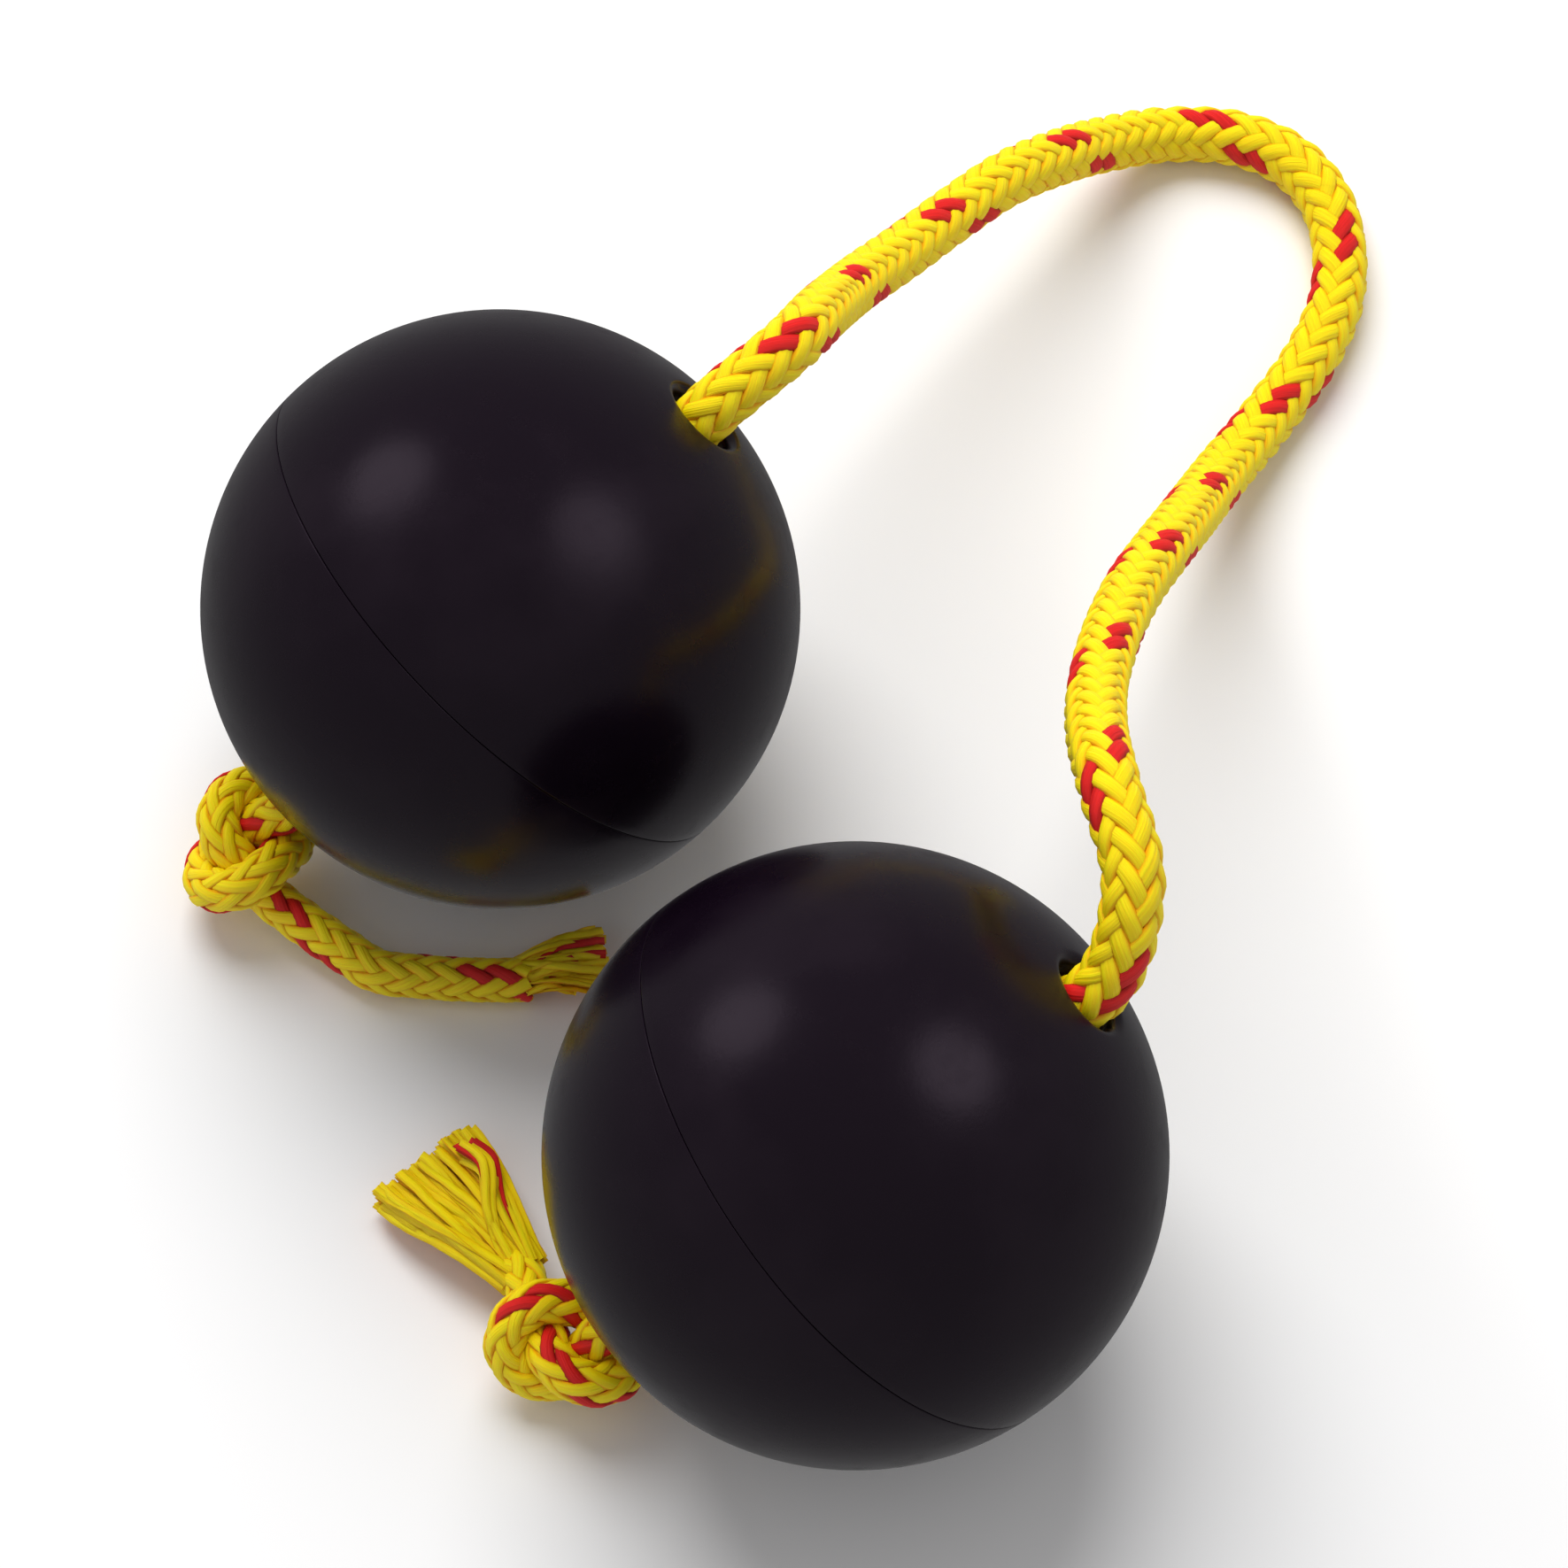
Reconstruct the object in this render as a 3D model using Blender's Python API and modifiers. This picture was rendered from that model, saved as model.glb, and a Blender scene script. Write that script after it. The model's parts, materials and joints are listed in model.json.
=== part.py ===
"""Two-ball cord shaker: two hollow plastic balls threaded on one braided cord.

Each ball is a pair of moulded half shells on a centre sleeve, with loose beads inside. The cord
runs through both balls, is stopped by a knot outside each one, and makes a finger loop between
them. Metres, +Z up. The origin is on the table, below the middle of the pair of balls.
"""
from math import acos, asin, ceil, cos, pi, radians, sin, sqrt

import bmesh
import bpy
from mathutils import Matrix, Vector

# Driving dimensions
BALL_RADIUS = 0.0250
BALL_GAP = 0.0079  # free space between the two balls
BALL_LINE_ANGLE = radians(-59.6)  # direction from ball a to ball b, about +Z from +X
WALL = 0.0020
CORD_DIAMETER = 0.0052
TAIL_DIAMETER = 0.0042  # the tails are pulled thin by the knot

# Fits
FIT_GAP = 0.0003  # between solids that touch
CORD_PLAY = 0.0003  # round the cord in the sleeve
HOLE_PLAY = 0.0005  # round the cord in a shell's hole

# Half shells
SEAM_LIP = 0.00085  # outer lip of the lap joint at the seam
SPIGOT_LENGTH = 0.0025
HOLE_ROUND = 0.0007
POLE_WALL = 0.0022  # from the hole's rim in to the end of the sleeve's socket
SOCKET_DEPTH = 0.0035
COLLAR_WALL = 0.0014

# Centre sleeve and beads
SLEEVE_WALL = 0.0008
BEAD_RADIUS = 0.0030
BEAD_RINGS = 1  # rings of beads round the lowest bead

# Cord ends
KNOT_HALF_THICKNESS = 0.0048  # along the ball's own axis
KNOT_HALF_WIDTH = 0.0066
KNOT_HALF_HEIGHT = 0.0054
STRAIGHT_LEAD = 0.0012  # straight cord outside each hole
TAIL_LEAD = 0.0010  # straight cord where a tail leaves its knot
CORD_START = 0.0050  # how far inside the hole the loop's cord begins

# Roundness
TURN_STEPS = 32
OUTER_ARC_STEPS = 9
INNER_ARC_STEPS = 6
RIM_STEPS = 4
KNOT_SEGMENTS = 16
KNOT_RINGS = 10
FRAY_SIDES = 14
CAP_TURNS = (0.5, 0.95, 1.3)  # angles of a round end's rings, in radians
SHARP_EDGE = radians(35)
NEVER_SHARP = radians(80)
BEVEL_RESOLUTION = 3
POINT_SPACING = 0.0050
TAIL_SPACING = 0.0030

# Each ball: its axis toward the loop, as a bearing from +X and a rise from the table
AXES = {"a": (radians(29.9), radians(36.8)), "b": (radians(21.0), radians(37.8))}

# The cord's routes: x, y and the height of its underside. Each loop cord starts at the end of
# its straight lead and ends at its hinge point beside the finger.
LOOP_ROUTES = {
    "a": [
        (0.0035, 0.0354, 0.0381), (0.0093, 0.0407, 0.0386), (0.0119, 0.0466, 0.0341),
        (0.0134, 0.0519, 0.0281), (0.0157, 0.0574, 0.0227), (0.0194, 0.0631, 0.0184),
        (0.0238, 0.0690, 0.0151), (0.0287, 0.0747, 0.0122), (0.0336, 0.0797, 0.0082),
        (0.0381, 0.0843, 0.0034), (0.0445, 0.0876, 0.0001),
    ],
    "b": [
        (0.0340, -0.0176, 0.0385), (0.0361, -0.0117, 0.0440), (0.0344, -0.0035, 0.0445),
        (0.0338, 0.0038, 0.0400), (0.0343, 0.0109, 0.0350), (0.0358, 0.0181, 0.0303),
        (0.0380, 0.0251, 0.0256), (0.0407, 0.0316, 0.0206), (0.0431, 0.0377, 0.0149),
        (0.0452, 0.0436, 0.0089), (0.0478, 0.0499, 0.0035), (0.0519, 0.0569, 0.0004),
        (0.0565, 0.0642, 0.0001),
    ],
}
BEND_ROUTE = [
    (0.0445, 0.0876, 0.0001), (0.0501, 0.0872, 0.0001), (0.0550, 0.0848, 0.0001),
    (0.0582, 0.0803, 0.0001), (0.0592, 0.0748, 0.0001), (0.0586, 0.0693, 0.0001),
    (0.0565, 0.0642, 0.0001),
]
TAIL_ROUTES = {
    "a": [
        (-0.0322, 0.0070, 0.0014), (-0.0298, 0.0044, 0.0003), (-0.0262, 0.0028, 0.0001),
        (-0.0215, 0.0021, 0.0001), (-0.0168, 0.0018, 0.0001), (-0.0126, 0.0018, 0.0001),
    ],
    "b": [(-0.0118, -0.0275, 0.0020), (-0.0134, -0.0255, 0.0012)],
}
TAIL_LEAVES = {"a": Vector((0.35, -0.80, -0.50)), "b": Vector((-0.62, 0.70, -0.35))}
FRAYS = {  # bearing, length, root and tip half widths, tip half thickness, and rise
    "a": (radians(14.0), 0.0085, 0.0021, 0.0034, 0.0016),
    "b": (radians(138.0), 0.0125, 0.0021, 0.0048, 0.0018),
}

# Worked out from the above
CORD_RADIUS = CORD_DIAMETER / 2
TAIL_RADIUS = TAIL_DIAMETER / 2
SLEEVE_BORE = CORD_RADIUS + CORD_PLAY
SLEEVE_RADIUS = SLEEVE_BORE + SLEEVE_WALL
SOCKET_RADIUS = SLEEVE_RADIUS + FIT_GAP
COLLAR_RADIUS = SOCKET_RADIUS + COLLAR_WALL
HOLE_RADIUS = CORD_RADIUS + HOLE_PLAY
INNER_RADIUS = BALL_RADIUS - WALL
SOCKET_TOP = BALL_RADIUS - POLE_WALL
RIM_LEAN = asin((HOLE_RADIUS + HOLE_ROUND) / (BALL_RADIUS - HOLE_ROUND))
KNOT_SIZE = (KNOT_HALF_WIDTH, KNOT_HALF_HEIGHT, KNOT_HALF_THICKNESS)
KNOT_REACH = BALL_RADIUS + FIT_GAP + KNOT_HALF_THICKNESS  # from a ball's centre

BLACK_PLASTIC = ("black_plastic", (0.017, 0.010, 0.018, 1), 0.16, 0.0)
SLEEVE_PLASTIC = ("sleeve_plastic", (0.60, 0.58, 0.52, 1), 0.45, 0.0)
BEAD_STEEL = ("bead_steel", (0.55, 0.55, 0.57, 1), 0.28, 1.0)
YELLOW_CORD = ("yellow_cord", (0.95, 0.62, 0.02, 1), 0.70, 0.0)
FRAYED_CORD = ("frayed_cord", (0.95, 0.68, 0.03, 1), 0.55, 0.0)


def clear_scene():
    """Take every object out of the file."""
    for obj in list(bpy.data.objects):
        bpy.data.objects.remove(obj)


def material(look):
    """The Principled material of a look: name, colour, roughness, metallic."""
    name, colour, roughness, metallic = look
    found = bpy.data.materials.get(name)
    if found:
        return found
    made = bpy.data.materials.new(name)
    made.use_nodes = True
    shader = made.node_tree.nodes["Principled BSDF"]
    shader.inputs["Base Color"].default_value = colour
    shader.inputs["Roughness"].default_value = roughness
    shader.inputs["Metallic"].default_value = metallic
    return made


def add(name, data, look, place=Matrix.Identity(4), parent=None):
    """Put a mesh or curve in the shaker's collection under its node's name."""
    obj = bpy.data.objects.new(name, data)
    data.materials.append(material(look))
    SHAKER.objects.link(obj)
    if parent:
        obj.parent = parent
    obj.matrix_local = place
    return obj


def smooth(mesh, angle=SHARP_EDGE):
    """Shade a mesh smooth, with sharp edges past an angle."""
    mesh.shade_smooth()
    mesh.set_sharp_from_angle(angle=angle)


def turned(name, profile, look, parent):
    """A closed outline of (radius, height) points turned round the parent's Z axis."""
    mesh = bpy.data.meshes.new(name)
    edges = [(i, (i + 1) % len(profile)) for i in range(len(profile))]
    mesh.from_pydata([(r, 0, z) for r, z in profile], edges, [])
    obj = add(name, mesh, look, parent=parent)
    screw = obj.modifiers.new("turn", "SCREW")
    screw.angle = 2 * pi
    screw.steps = TURN_STEPS
    screw.render_steps = TURN_STEPS
    screw.use_merge_vertices = True
    screw.merge_threshold = 0.00001
    bpy.context.view_layer.update()
    depsgraph = bpy.context.evaluated_depsgraph_get()
    solid = bpy.data.meshes.new_from_object(obj.evaluated_get(depsgraph))
    obj.modifiers.clear()
    obj.data = solid
    smooth(solid)
    return obj


def arc(radius, start, stop, steps):
    """(radius, height) points on a circle about the origin, at angles from the axis."""
    turn = [start + (stop - start) * i / steps for i in range(steps + 1)]
    return [(radius * sin(a), radius * cos(a)) for a in turn]


def hole_rim():
    """The rounded edge of a shell's hole, from the ball's surface down into the bore."""
    centre_r = HOLE_RADIUS + HOLE_ROUND
    centre_z = sqrt((BALL_RADIUS - HOLE_ROUND) ** 2 - centre_r ** 2)
    turn = [RIM_LEAN - (RIM_LEAN + pi / 2) * i / RIM_STEPS for i in range(RIM_STEPS + 1)]
    return [(centre_r + HOLE_ROUND * sin(a), centre_z + HOLE_ROUND * cos(a)) for a in turn]


def pole_profile():
    """One half's outline near its pole: the collar and socket, the bore, then the rim."""
    inside = [
        (COLLAR_RADIUS, sqrt(INNER_RADIUS ** 2 - COLLAR_RADIUS ** 2)),
        (COLLAR_RADIUS, SOCKET_TOP - SOCKET_DEPTH),
        (SOCKET_RADIUS, SOCKET_TOP - SOCKET_DEPTH),
        (SOCKET_RADIUS, SOCKET_TOP),
        (HOLE_RADIUS, SOCKET_TOP),
    ]
    return inside + hole_rim()[::-1]


def half_profile(seam):
    """A half shell's outline, with the given points at its seam from outside to inside."""
    outside = arc(BALL_RADIUS, RIM_LEAN, acos(seam[0][1] / BALL_RADIUS), OUTER_ARC_STEPS)[1:-1]
    collar = asin(COLLAR_RADIUS / INNER_RADIUS)
    inside = arc(INNER_RADIUS, pi / 2, collar, INNER_ARC_STEPS)[1:-1]
    return outside + seam + inside + pole_profile()


def loop_half():
    """Outline of the half that faces the loop, with the lap joint's spigot."""
    spigot = BALL_RADIUS - SEAM_LIP - FIT_GAP
    return half_profile([
        (sqrt(BALL_RADIUS ** 2 - (FIT_GAP / 2) ** 2), FIT_GAP / 2),
        (spigot, FIT_GAP / 2),
        (spigot, -SPIGOT_LENGTH),
        (INNER_RADIUS, -SPIGOT_LENGTH),
        (INNER_RADIUS, 0),
    ])


def knot_half():
    """Outline of the half that faces the knot, with the lap joint's rebate, pole down."""
    rebate = SPIGOT_LENGTH + FIT_GAP
    profile = half_profile([
        (sqrt(BALL_RADIUS ** 2 - (FIT_GAP / 2) ** 2), FIT_GAP / 2),
        (BALL_RADIUS - SEAM_LIP, FIT_GAP / 2),
        (BALL_RADIUS - SEAM_LIP, rebate),
        (sqrt(INNER_RADIUS ** 2 - rebate ** 2), rebate),
    ])
    kept = [(r, z) for r, z in profile if z >= rebate or r > BALL_RADIUS - SEAM_LIP - FIT_GAP]
    return [(r, -z) for r, z in kept][::-1]


def smooth_route(points, spacing=POINT_SPACING):
    """Points along one smooth curve through the chosen points."""
    points = [Vector(p) for p in points]
    spans = [(b - a).length for a, b in zip(points, points[1:])]
    slopes = [(points[1] - points[0]) / spans[0]]
    for before, here, after, back, ahead in zip(points, points[1:], points[2:], spans, spans[1:]):
        slope = (here - before) / back * ahead + (after - here) / ahead * back
        slopes.append(slope / (back + ahead))
    slopes.append((points[-1] - points[-2]) / spans[-1])
    route = [points[0]]
    for i, span in enumerate(spans):
        steps = max(1, ceil(span / spacing))
        for t in [(k + 1) / steps for k in range(steps)]:
            route.append(
                (2 * t ** 3 - 3 * t ** 2 + 1) * points[i]
                + (t ** 3 - 2 * t ** 2 + t) * span * slopes[i]
                + (3 * t ** 2 - 2 * t ** 3) * points[i + 1]
                + (t ** 3 - t ** 2) * span * slopes[i + 1]
            )
    return route


def lifted(route, radius):
    """A route's centreline, from its underside heights."""
    return [Vector((x, y, under + radius)) for x, y, under in route]


def led_from(start, chosen):
    """Chosen points, with the first moved to its start and the move fading out to the last."""
    move = start - chosen[0]
    last = len(chosen) - 1
    return [p + move * (1 - i / last) for i, p in enumerate(chosen)]


def tube(name, points, radius, look, round_ends=False, parent=None):
    """A cord along its points, as a bevelled curve with filled caps."""
    profile = [(p, 1.0) for p in points]
    if round_ends:
        for end, inner in ((points[0], points[1]), (points[-1], points[-2])):
            out = (end - inner).normalized()
            cap = [(end + out * radius * sin(a), cos(a)) for a in CAP_TURNS]
            profile = profile + cap if end == points[-1] else cap[::-1] + profile
    curve = bpy.data.curves.new(name, "CURVE")
    curve.dimensions = "3D"
    curve.bevel_depth = radius
    curve.bevel_resolution = BEVEL_RESOLUTION
    curve.use_fill_caps = True
    spline = curve.splines.new("POLY")
    spline.points.add(len(profile) - 1)
    for point, (place, thickness) in zip(spline.points, profile):
        point.co = (*place, 1)
        point.radius = thickness
    spline.use_smooth = True
    return add(name, curve, look, parent=parent)


def ball_axis(side):
    """Unit vector from a ball's centre toward the loop."""
    bearing, rise = AXES[side]
    return Vector((cos(rise) * cos(bearing), cos(rise) * sin(bearing), sin(rise)))


def ball_centre(side):
    """A ball's centre: the pair stands either side of the origin."""
    along = Vector((cos(BALL_LINE_ANGLE), sin(BALL_LINE_ANGLE), 0))
    half = (BALL_RADIUS + BALL_GAP / 2) * (-1 if side == "a" else 1)
    return along * half + Vector((0, 0, BALL_RADIUS))


def ball_frame(side):
    """An empty at a ball's centre, its Z toward the loop and its Y uphill."""
    axis = ball_axis(side)
    across = Vector((0, 0, 1)).cross(axis).normalized()
    turn = Matrix((across, axis.cross(across), axis)).transposed().to_4x4()
    empty = bpy.data.objects.new(f"ball_centre_{side}", None)
    empty.empty_display_size = BALL_RADIUS
    empty.matrix_world = Matrix.Translation(ball_centre(side)) @ turn
    SHAKER.objects.link(empty)
    bpy.context.view_layer.update()
    return empty


def sleeve(side, frame):
    """The tube that keeps the beads off the cord, seated in both collars."""
    end = SOCKET_TOP - FIT_GAP
    outline = [(SLEEVE_RADIUS, end), (SLEEVE_RADIUS, -end), (SLEEVE_BORE, -end), (SLEEVE_BORE, end)]
    return turned(f"centre_sleeve_{side}", outline, SLEEVE_PLASTIC, frame)


def bead_places(side):
    """Bead centres in the ball's frame: a heap of rings round the cavity's lowest point."""
    orbit = INNER_RADIUS - BEAD_RADIUS - FIT_GAP
    step = asin((2 * BEAD_RADIUS + FIT_GAP) / orbit)
    axis = ball_axis(side)
    down = Vector((0, -sqrt(1 - axis.z ** 2), -axis.z))
    first = Vector((1, 0, 0))
    second = down.cross(first)
    clear_of_collar = COLLAR_RADIUS + BEAD_RADIUS + FIT_GAP
    places = [down * orbit]
    for ring in range(1, BEAD_RINGS + 1):
        lean = ring * step
        for i in range(6 * ring):
            turn = 2 * pi * i / (6 * ring)
            side_way = first * cos(turn) + second * sin(turn)
            place = (down * cos(lean) + side_way * sin(lean)) * orbit
            if Vector((place.x, place.y)).length > clear_of_collar:
                places.append(place)
    return places


def beads(side, frame):
    """The loose beads of one ball, which share one mesh."""
    bm = bmesh.new()
    bmesh.ops.create_icosphere(bm, subdivisions=2, radius=BEAD_RADIUS)
    mesh = bpy.data.meshes.new(f"rattle_bead_{side}")
    bm.to_mesh(mesh)
    bm.free()
    smooth(mesh, NEVER_SHARP)
    mesh.materials.append(material(BEAD_STEEL))
    for number, place in enumerate(bead_places(side), start=1):
        bead = bpy.data.objects.new(f"rattle_bead_{side}_{number}", mesh)
        SHAKER.objects.link(bead)
        bead.parent = frame
        bead.location = place


def knot_centre(side):
    """Where a knot sits, against the far side of its ball."""
    return ball_centre(side) - ball_axis(side) * KNOT_REACH


def knot(side, frame):
    """The overhand knot's bulk, pulled up against the ball, in the ball's frame."""
    bm = bmesh.new()
    bmesh.ops.create_uvsphere(bm, u_segments=KNOT_SEGMENTS, v_segments=KNOT_RINGS, radius=1)
    bmesh.ops.scale(bm, vec=KNOT_SIZE, verts=bm.verts)
    mesh = bpy.data.meshes.new(f"stop_knot_{side}")
    bm.to_mesh(mesh)
    bm.free()
    smooth(mesh, NEVER_SHARP)
    place = Matrix.Translation((0, 0, -KNOT_REACH))
    return add(f"stop_knot_{side}", mesh, YELLOW_CORD, place, frame)


def knot_surface(side, frame, direction):
    """The point just outside a knot where a cord leaves it in a direction."""
    way = direction.normalized()
    local = frame.matrix_world.to_3x3().transposed() @ way
    reach = sqrt(sum((s * c) ** 2 for s, c in zip(KNOT_SIZE, local)))
    return knot_centre(side) + way * (reach + FIT_GAP)


def tail(side, frame):
    """The cut end that lies on the table beyond a knot; returns its last point."""
    start = knot_surface(side, frame, TAIL_LEAVES[side])
    lead = start + TAIL_LEAVES[side].normalized() * TAIL_LEAD
    route = smooth_route([start, lead] + lifted(TAIL_ROUTES[side], TAIL_RADIUS), TAIL_SPACING)
    tube(f"cord_tail_{side}", route, TAIL_RADIUS, YELLOW_CORD)
    return route[-2], route[-1]


def frayed_end(side, before, end):
    """The opened strands at a tail's tip, as one flattened flare lying on the table."""
    bearing, length, root, tip, thick = FRAYS[side]
    bm = bmesh.new()
    bmesh.ops.create_cone(
        bm, cap_ends=True, segments=FRAY_SIDES, radius1=root, radius2=tip, depth=length
    )
    for vert in bm.verts:
        vert.co.z += length / 2
        if vert.co.z > length / 2:
            vert.co.y *= thick / tip
    mesh = bpy.data.meshes.new(f"frayed_end_{side}")
    bm.to_mesh(mesh)
    bm.free()
    smooth(mesh)
    way = Vector((cos(bearing), sin(bearing), 0))
    turn = Matrix((way.cross((0, 0, 1)), Vector((0, 0, 1)), way)).transposed().to_4x4()
    start = end + (end - before).normalized() * FIT_GAP
    clear = way * root * sqrt(max(0.0, 1 - (end - before).normalized().dot(way) ** 2))
    return add(f"frayed_end_{side}", mesh, FRAYED_CORD, Matrix.Translation(start + clear) @ turn)


def through_cord(side, frame):
    """The stretch of cord inside a ball, in the ball's frame."""
    ends = [Vector((0, 0, -BALL_RADIUS)), Vector((0, 0, BALL_RADIUS - CORD_START))]
    return tube(f"through_cord_{side}", ends, CORD_RADIUS, YELLOW_CORD, parent=frame)


def loop_cord(side):
    """One leg of the loop, from inside its hole to just short of its hinge point."""
    axis = ball_axis(side)
    start = ball_centre(side) + axis * (BALL_RADIUS - CORD_START + FIT_GAP)
    lead_end = ball_centre(side) + axis * (BALL_RADIUS + STRAIGHT_LEAD)
    chosen = led_from(lead_end, lifted(LOOP_ROUTES[side], CORD_RADIUS))
    route = smooth_route([start] + chosen)
    last = (route[-1] - route[-2]).normalized()
    route[-1] -= last * (CORD_RADIUS + FIT_GAP)
    return tube(f"loop_cord_{side}", route, CORD_RADIUS, YELLOW_CORD)


def loop_bend():
    """The finger's stretch of the loop, with round ends on the two hinge points."""
    route = smooth_route(lifted(BEND_ROUTE, CORD_RADIUS))
    return tube("loop_cord_bend", route, CORD_RADIUS, YELLOW_CORD, round_ends=True)


def ball(side):
    """One whole ball with the cord that belongs to it."""
    frame = ball_frame(side)
    turned(f"loop_half_shell_{side}", loop_half(), BLACK_PLASTIC, frame)
    turned(f"knot_half_shell_{side}", knot_half(), BLACK_PLASTIC, frame)
    sleeve(side, frame)
    beads(side, frame)
    through_cord(side, frame)
    knot(side, frame)
    frayed_end(side, *tail(side, frame))
    loop_cord(side)


clear_scene()
SHAKER = bpy.data.collections.new("cord_shaker")
bpy.context.scene.collection.children.link(SHAKER)
for ball_side in ("a", "b"):
    ball(ball_side)
loop_bend()
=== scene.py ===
"""Two-ball cord shaker: the finished look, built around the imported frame.

Two glossy black balls hang on one yellow round braid with red flecks. The braid makes a finger
loop between them, is stopped by an overhand knot outside each ball, and ends in opened yarns.
Metres, +Z up.
"""

import json
import logging
import math
from dataclasses import dataclass, field
from enum import Enum

import bmesh
import bpy
import numpy as np
from mathutils import Matrix, Vector


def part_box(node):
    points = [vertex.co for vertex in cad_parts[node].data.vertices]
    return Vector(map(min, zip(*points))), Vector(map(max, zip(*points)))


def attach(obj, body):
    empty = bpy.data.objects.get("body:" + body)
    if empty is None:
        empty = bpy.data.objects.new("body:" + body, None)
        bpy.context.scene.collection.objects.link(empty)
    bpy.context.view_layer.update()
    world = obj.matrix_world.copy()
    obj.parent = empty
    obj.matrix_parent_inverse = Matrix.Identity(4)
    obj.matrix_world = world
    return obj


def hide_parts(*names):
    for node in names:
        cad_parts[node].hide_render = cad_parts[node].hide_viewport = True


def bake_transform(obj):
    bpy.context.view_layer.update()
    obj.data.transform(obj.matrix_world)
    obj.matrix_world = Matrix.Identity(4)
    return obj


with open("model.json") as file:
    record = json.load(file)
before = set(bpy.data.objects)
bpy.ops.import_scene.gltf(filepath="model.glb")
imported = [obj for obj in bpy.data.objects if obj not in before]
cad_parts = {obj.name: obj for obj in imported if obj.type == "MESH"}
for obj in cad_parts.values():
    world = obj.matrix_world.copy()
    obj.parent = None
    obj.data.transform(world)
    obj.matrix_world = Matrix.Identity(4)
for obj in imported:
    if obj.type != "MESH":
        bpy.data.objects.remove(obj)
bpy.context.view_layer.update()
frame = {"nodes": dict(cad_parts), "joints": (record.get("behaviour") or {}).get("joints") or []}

LOG = logging.getLogger("cord_shaker")
Point = tuple[float, float, float]
UP = Vector((0.0, 0.0, 1.0))


class Side(Enum):
    """The two ends of the shaker."""

    FAR = "a"
    NEAR = "b"


def placed(name: str, data: bpy.types.ID) -> bpy.types.Object:
    """Makes an object at the origin and links it to the scene.

    Args:
        name: The object's name.
        data: Its mesh, curve, camera or light.

    Returns:
        The object.
    """
    made = bpy.data.objects.new(name, data)
    bpy.context.scene.collection.objects.link(made)
    return made


def settle(piece: bpy.types.Object, body: str, slot: str, *solids: str) -> None:
    """Says what a piece belongs to, and reports it.

    Args:
        piece: The finished piece.
        body: The moving body that carries it.
        slot: The record's material slot; not used.
        solids: The names of the frame's nodes that it stands for.
    """
    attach(piece, body)
    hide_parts(*solids)
    LOG.info("%s: %d faces", piece.name, len(piece.data.polygons))


class Sock:
    """One output of a node, usable in Python arithmetic."""

    def __init__(self, nodes: "Nodes", socket: bpy.types.NodeSocket) -> None:
        """Keeps the socket and the builder that made its node."""
        self.nodes = nodes
        self.socket = socket

    def output(self, name: str) -> "Sock":
        """Another output of the same node."""
        return Sock(self.nodes, self.socket.node.outputs[name])

    def __add__(self, other: "Sock | float") -> "Sock":
        """Sum."""
        return self.nodes.math("ADD", self, other)

    def __sub__(self, other: "Sock | float") -> "Sock":
        """Difference."""
        return self.nodes.math("SUBTRACT", self, other)

    def __rsub__(self, other: float) -> "Sock":
        """Difference from a number."""
        return self.nodes.math("SUBTRACT", other, self)

    def __mul__(self, other: "Sock | float") -> "Sock":
        """Product."""
        return self.nodes.math("MULTIPLY", self, other)

    def __truediv__(self, other: "Sock | float") -> "Sock":
        """Quotient."""
        return self.nodes.math("DIVIDE", self, other)

    def __pow__(self, power: float) -> "Sock":
        """Power."""
        return self.nodes.math("POWER", self, power)

    __radd__ = __add__
    __rmul__ = __mul__


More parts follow.
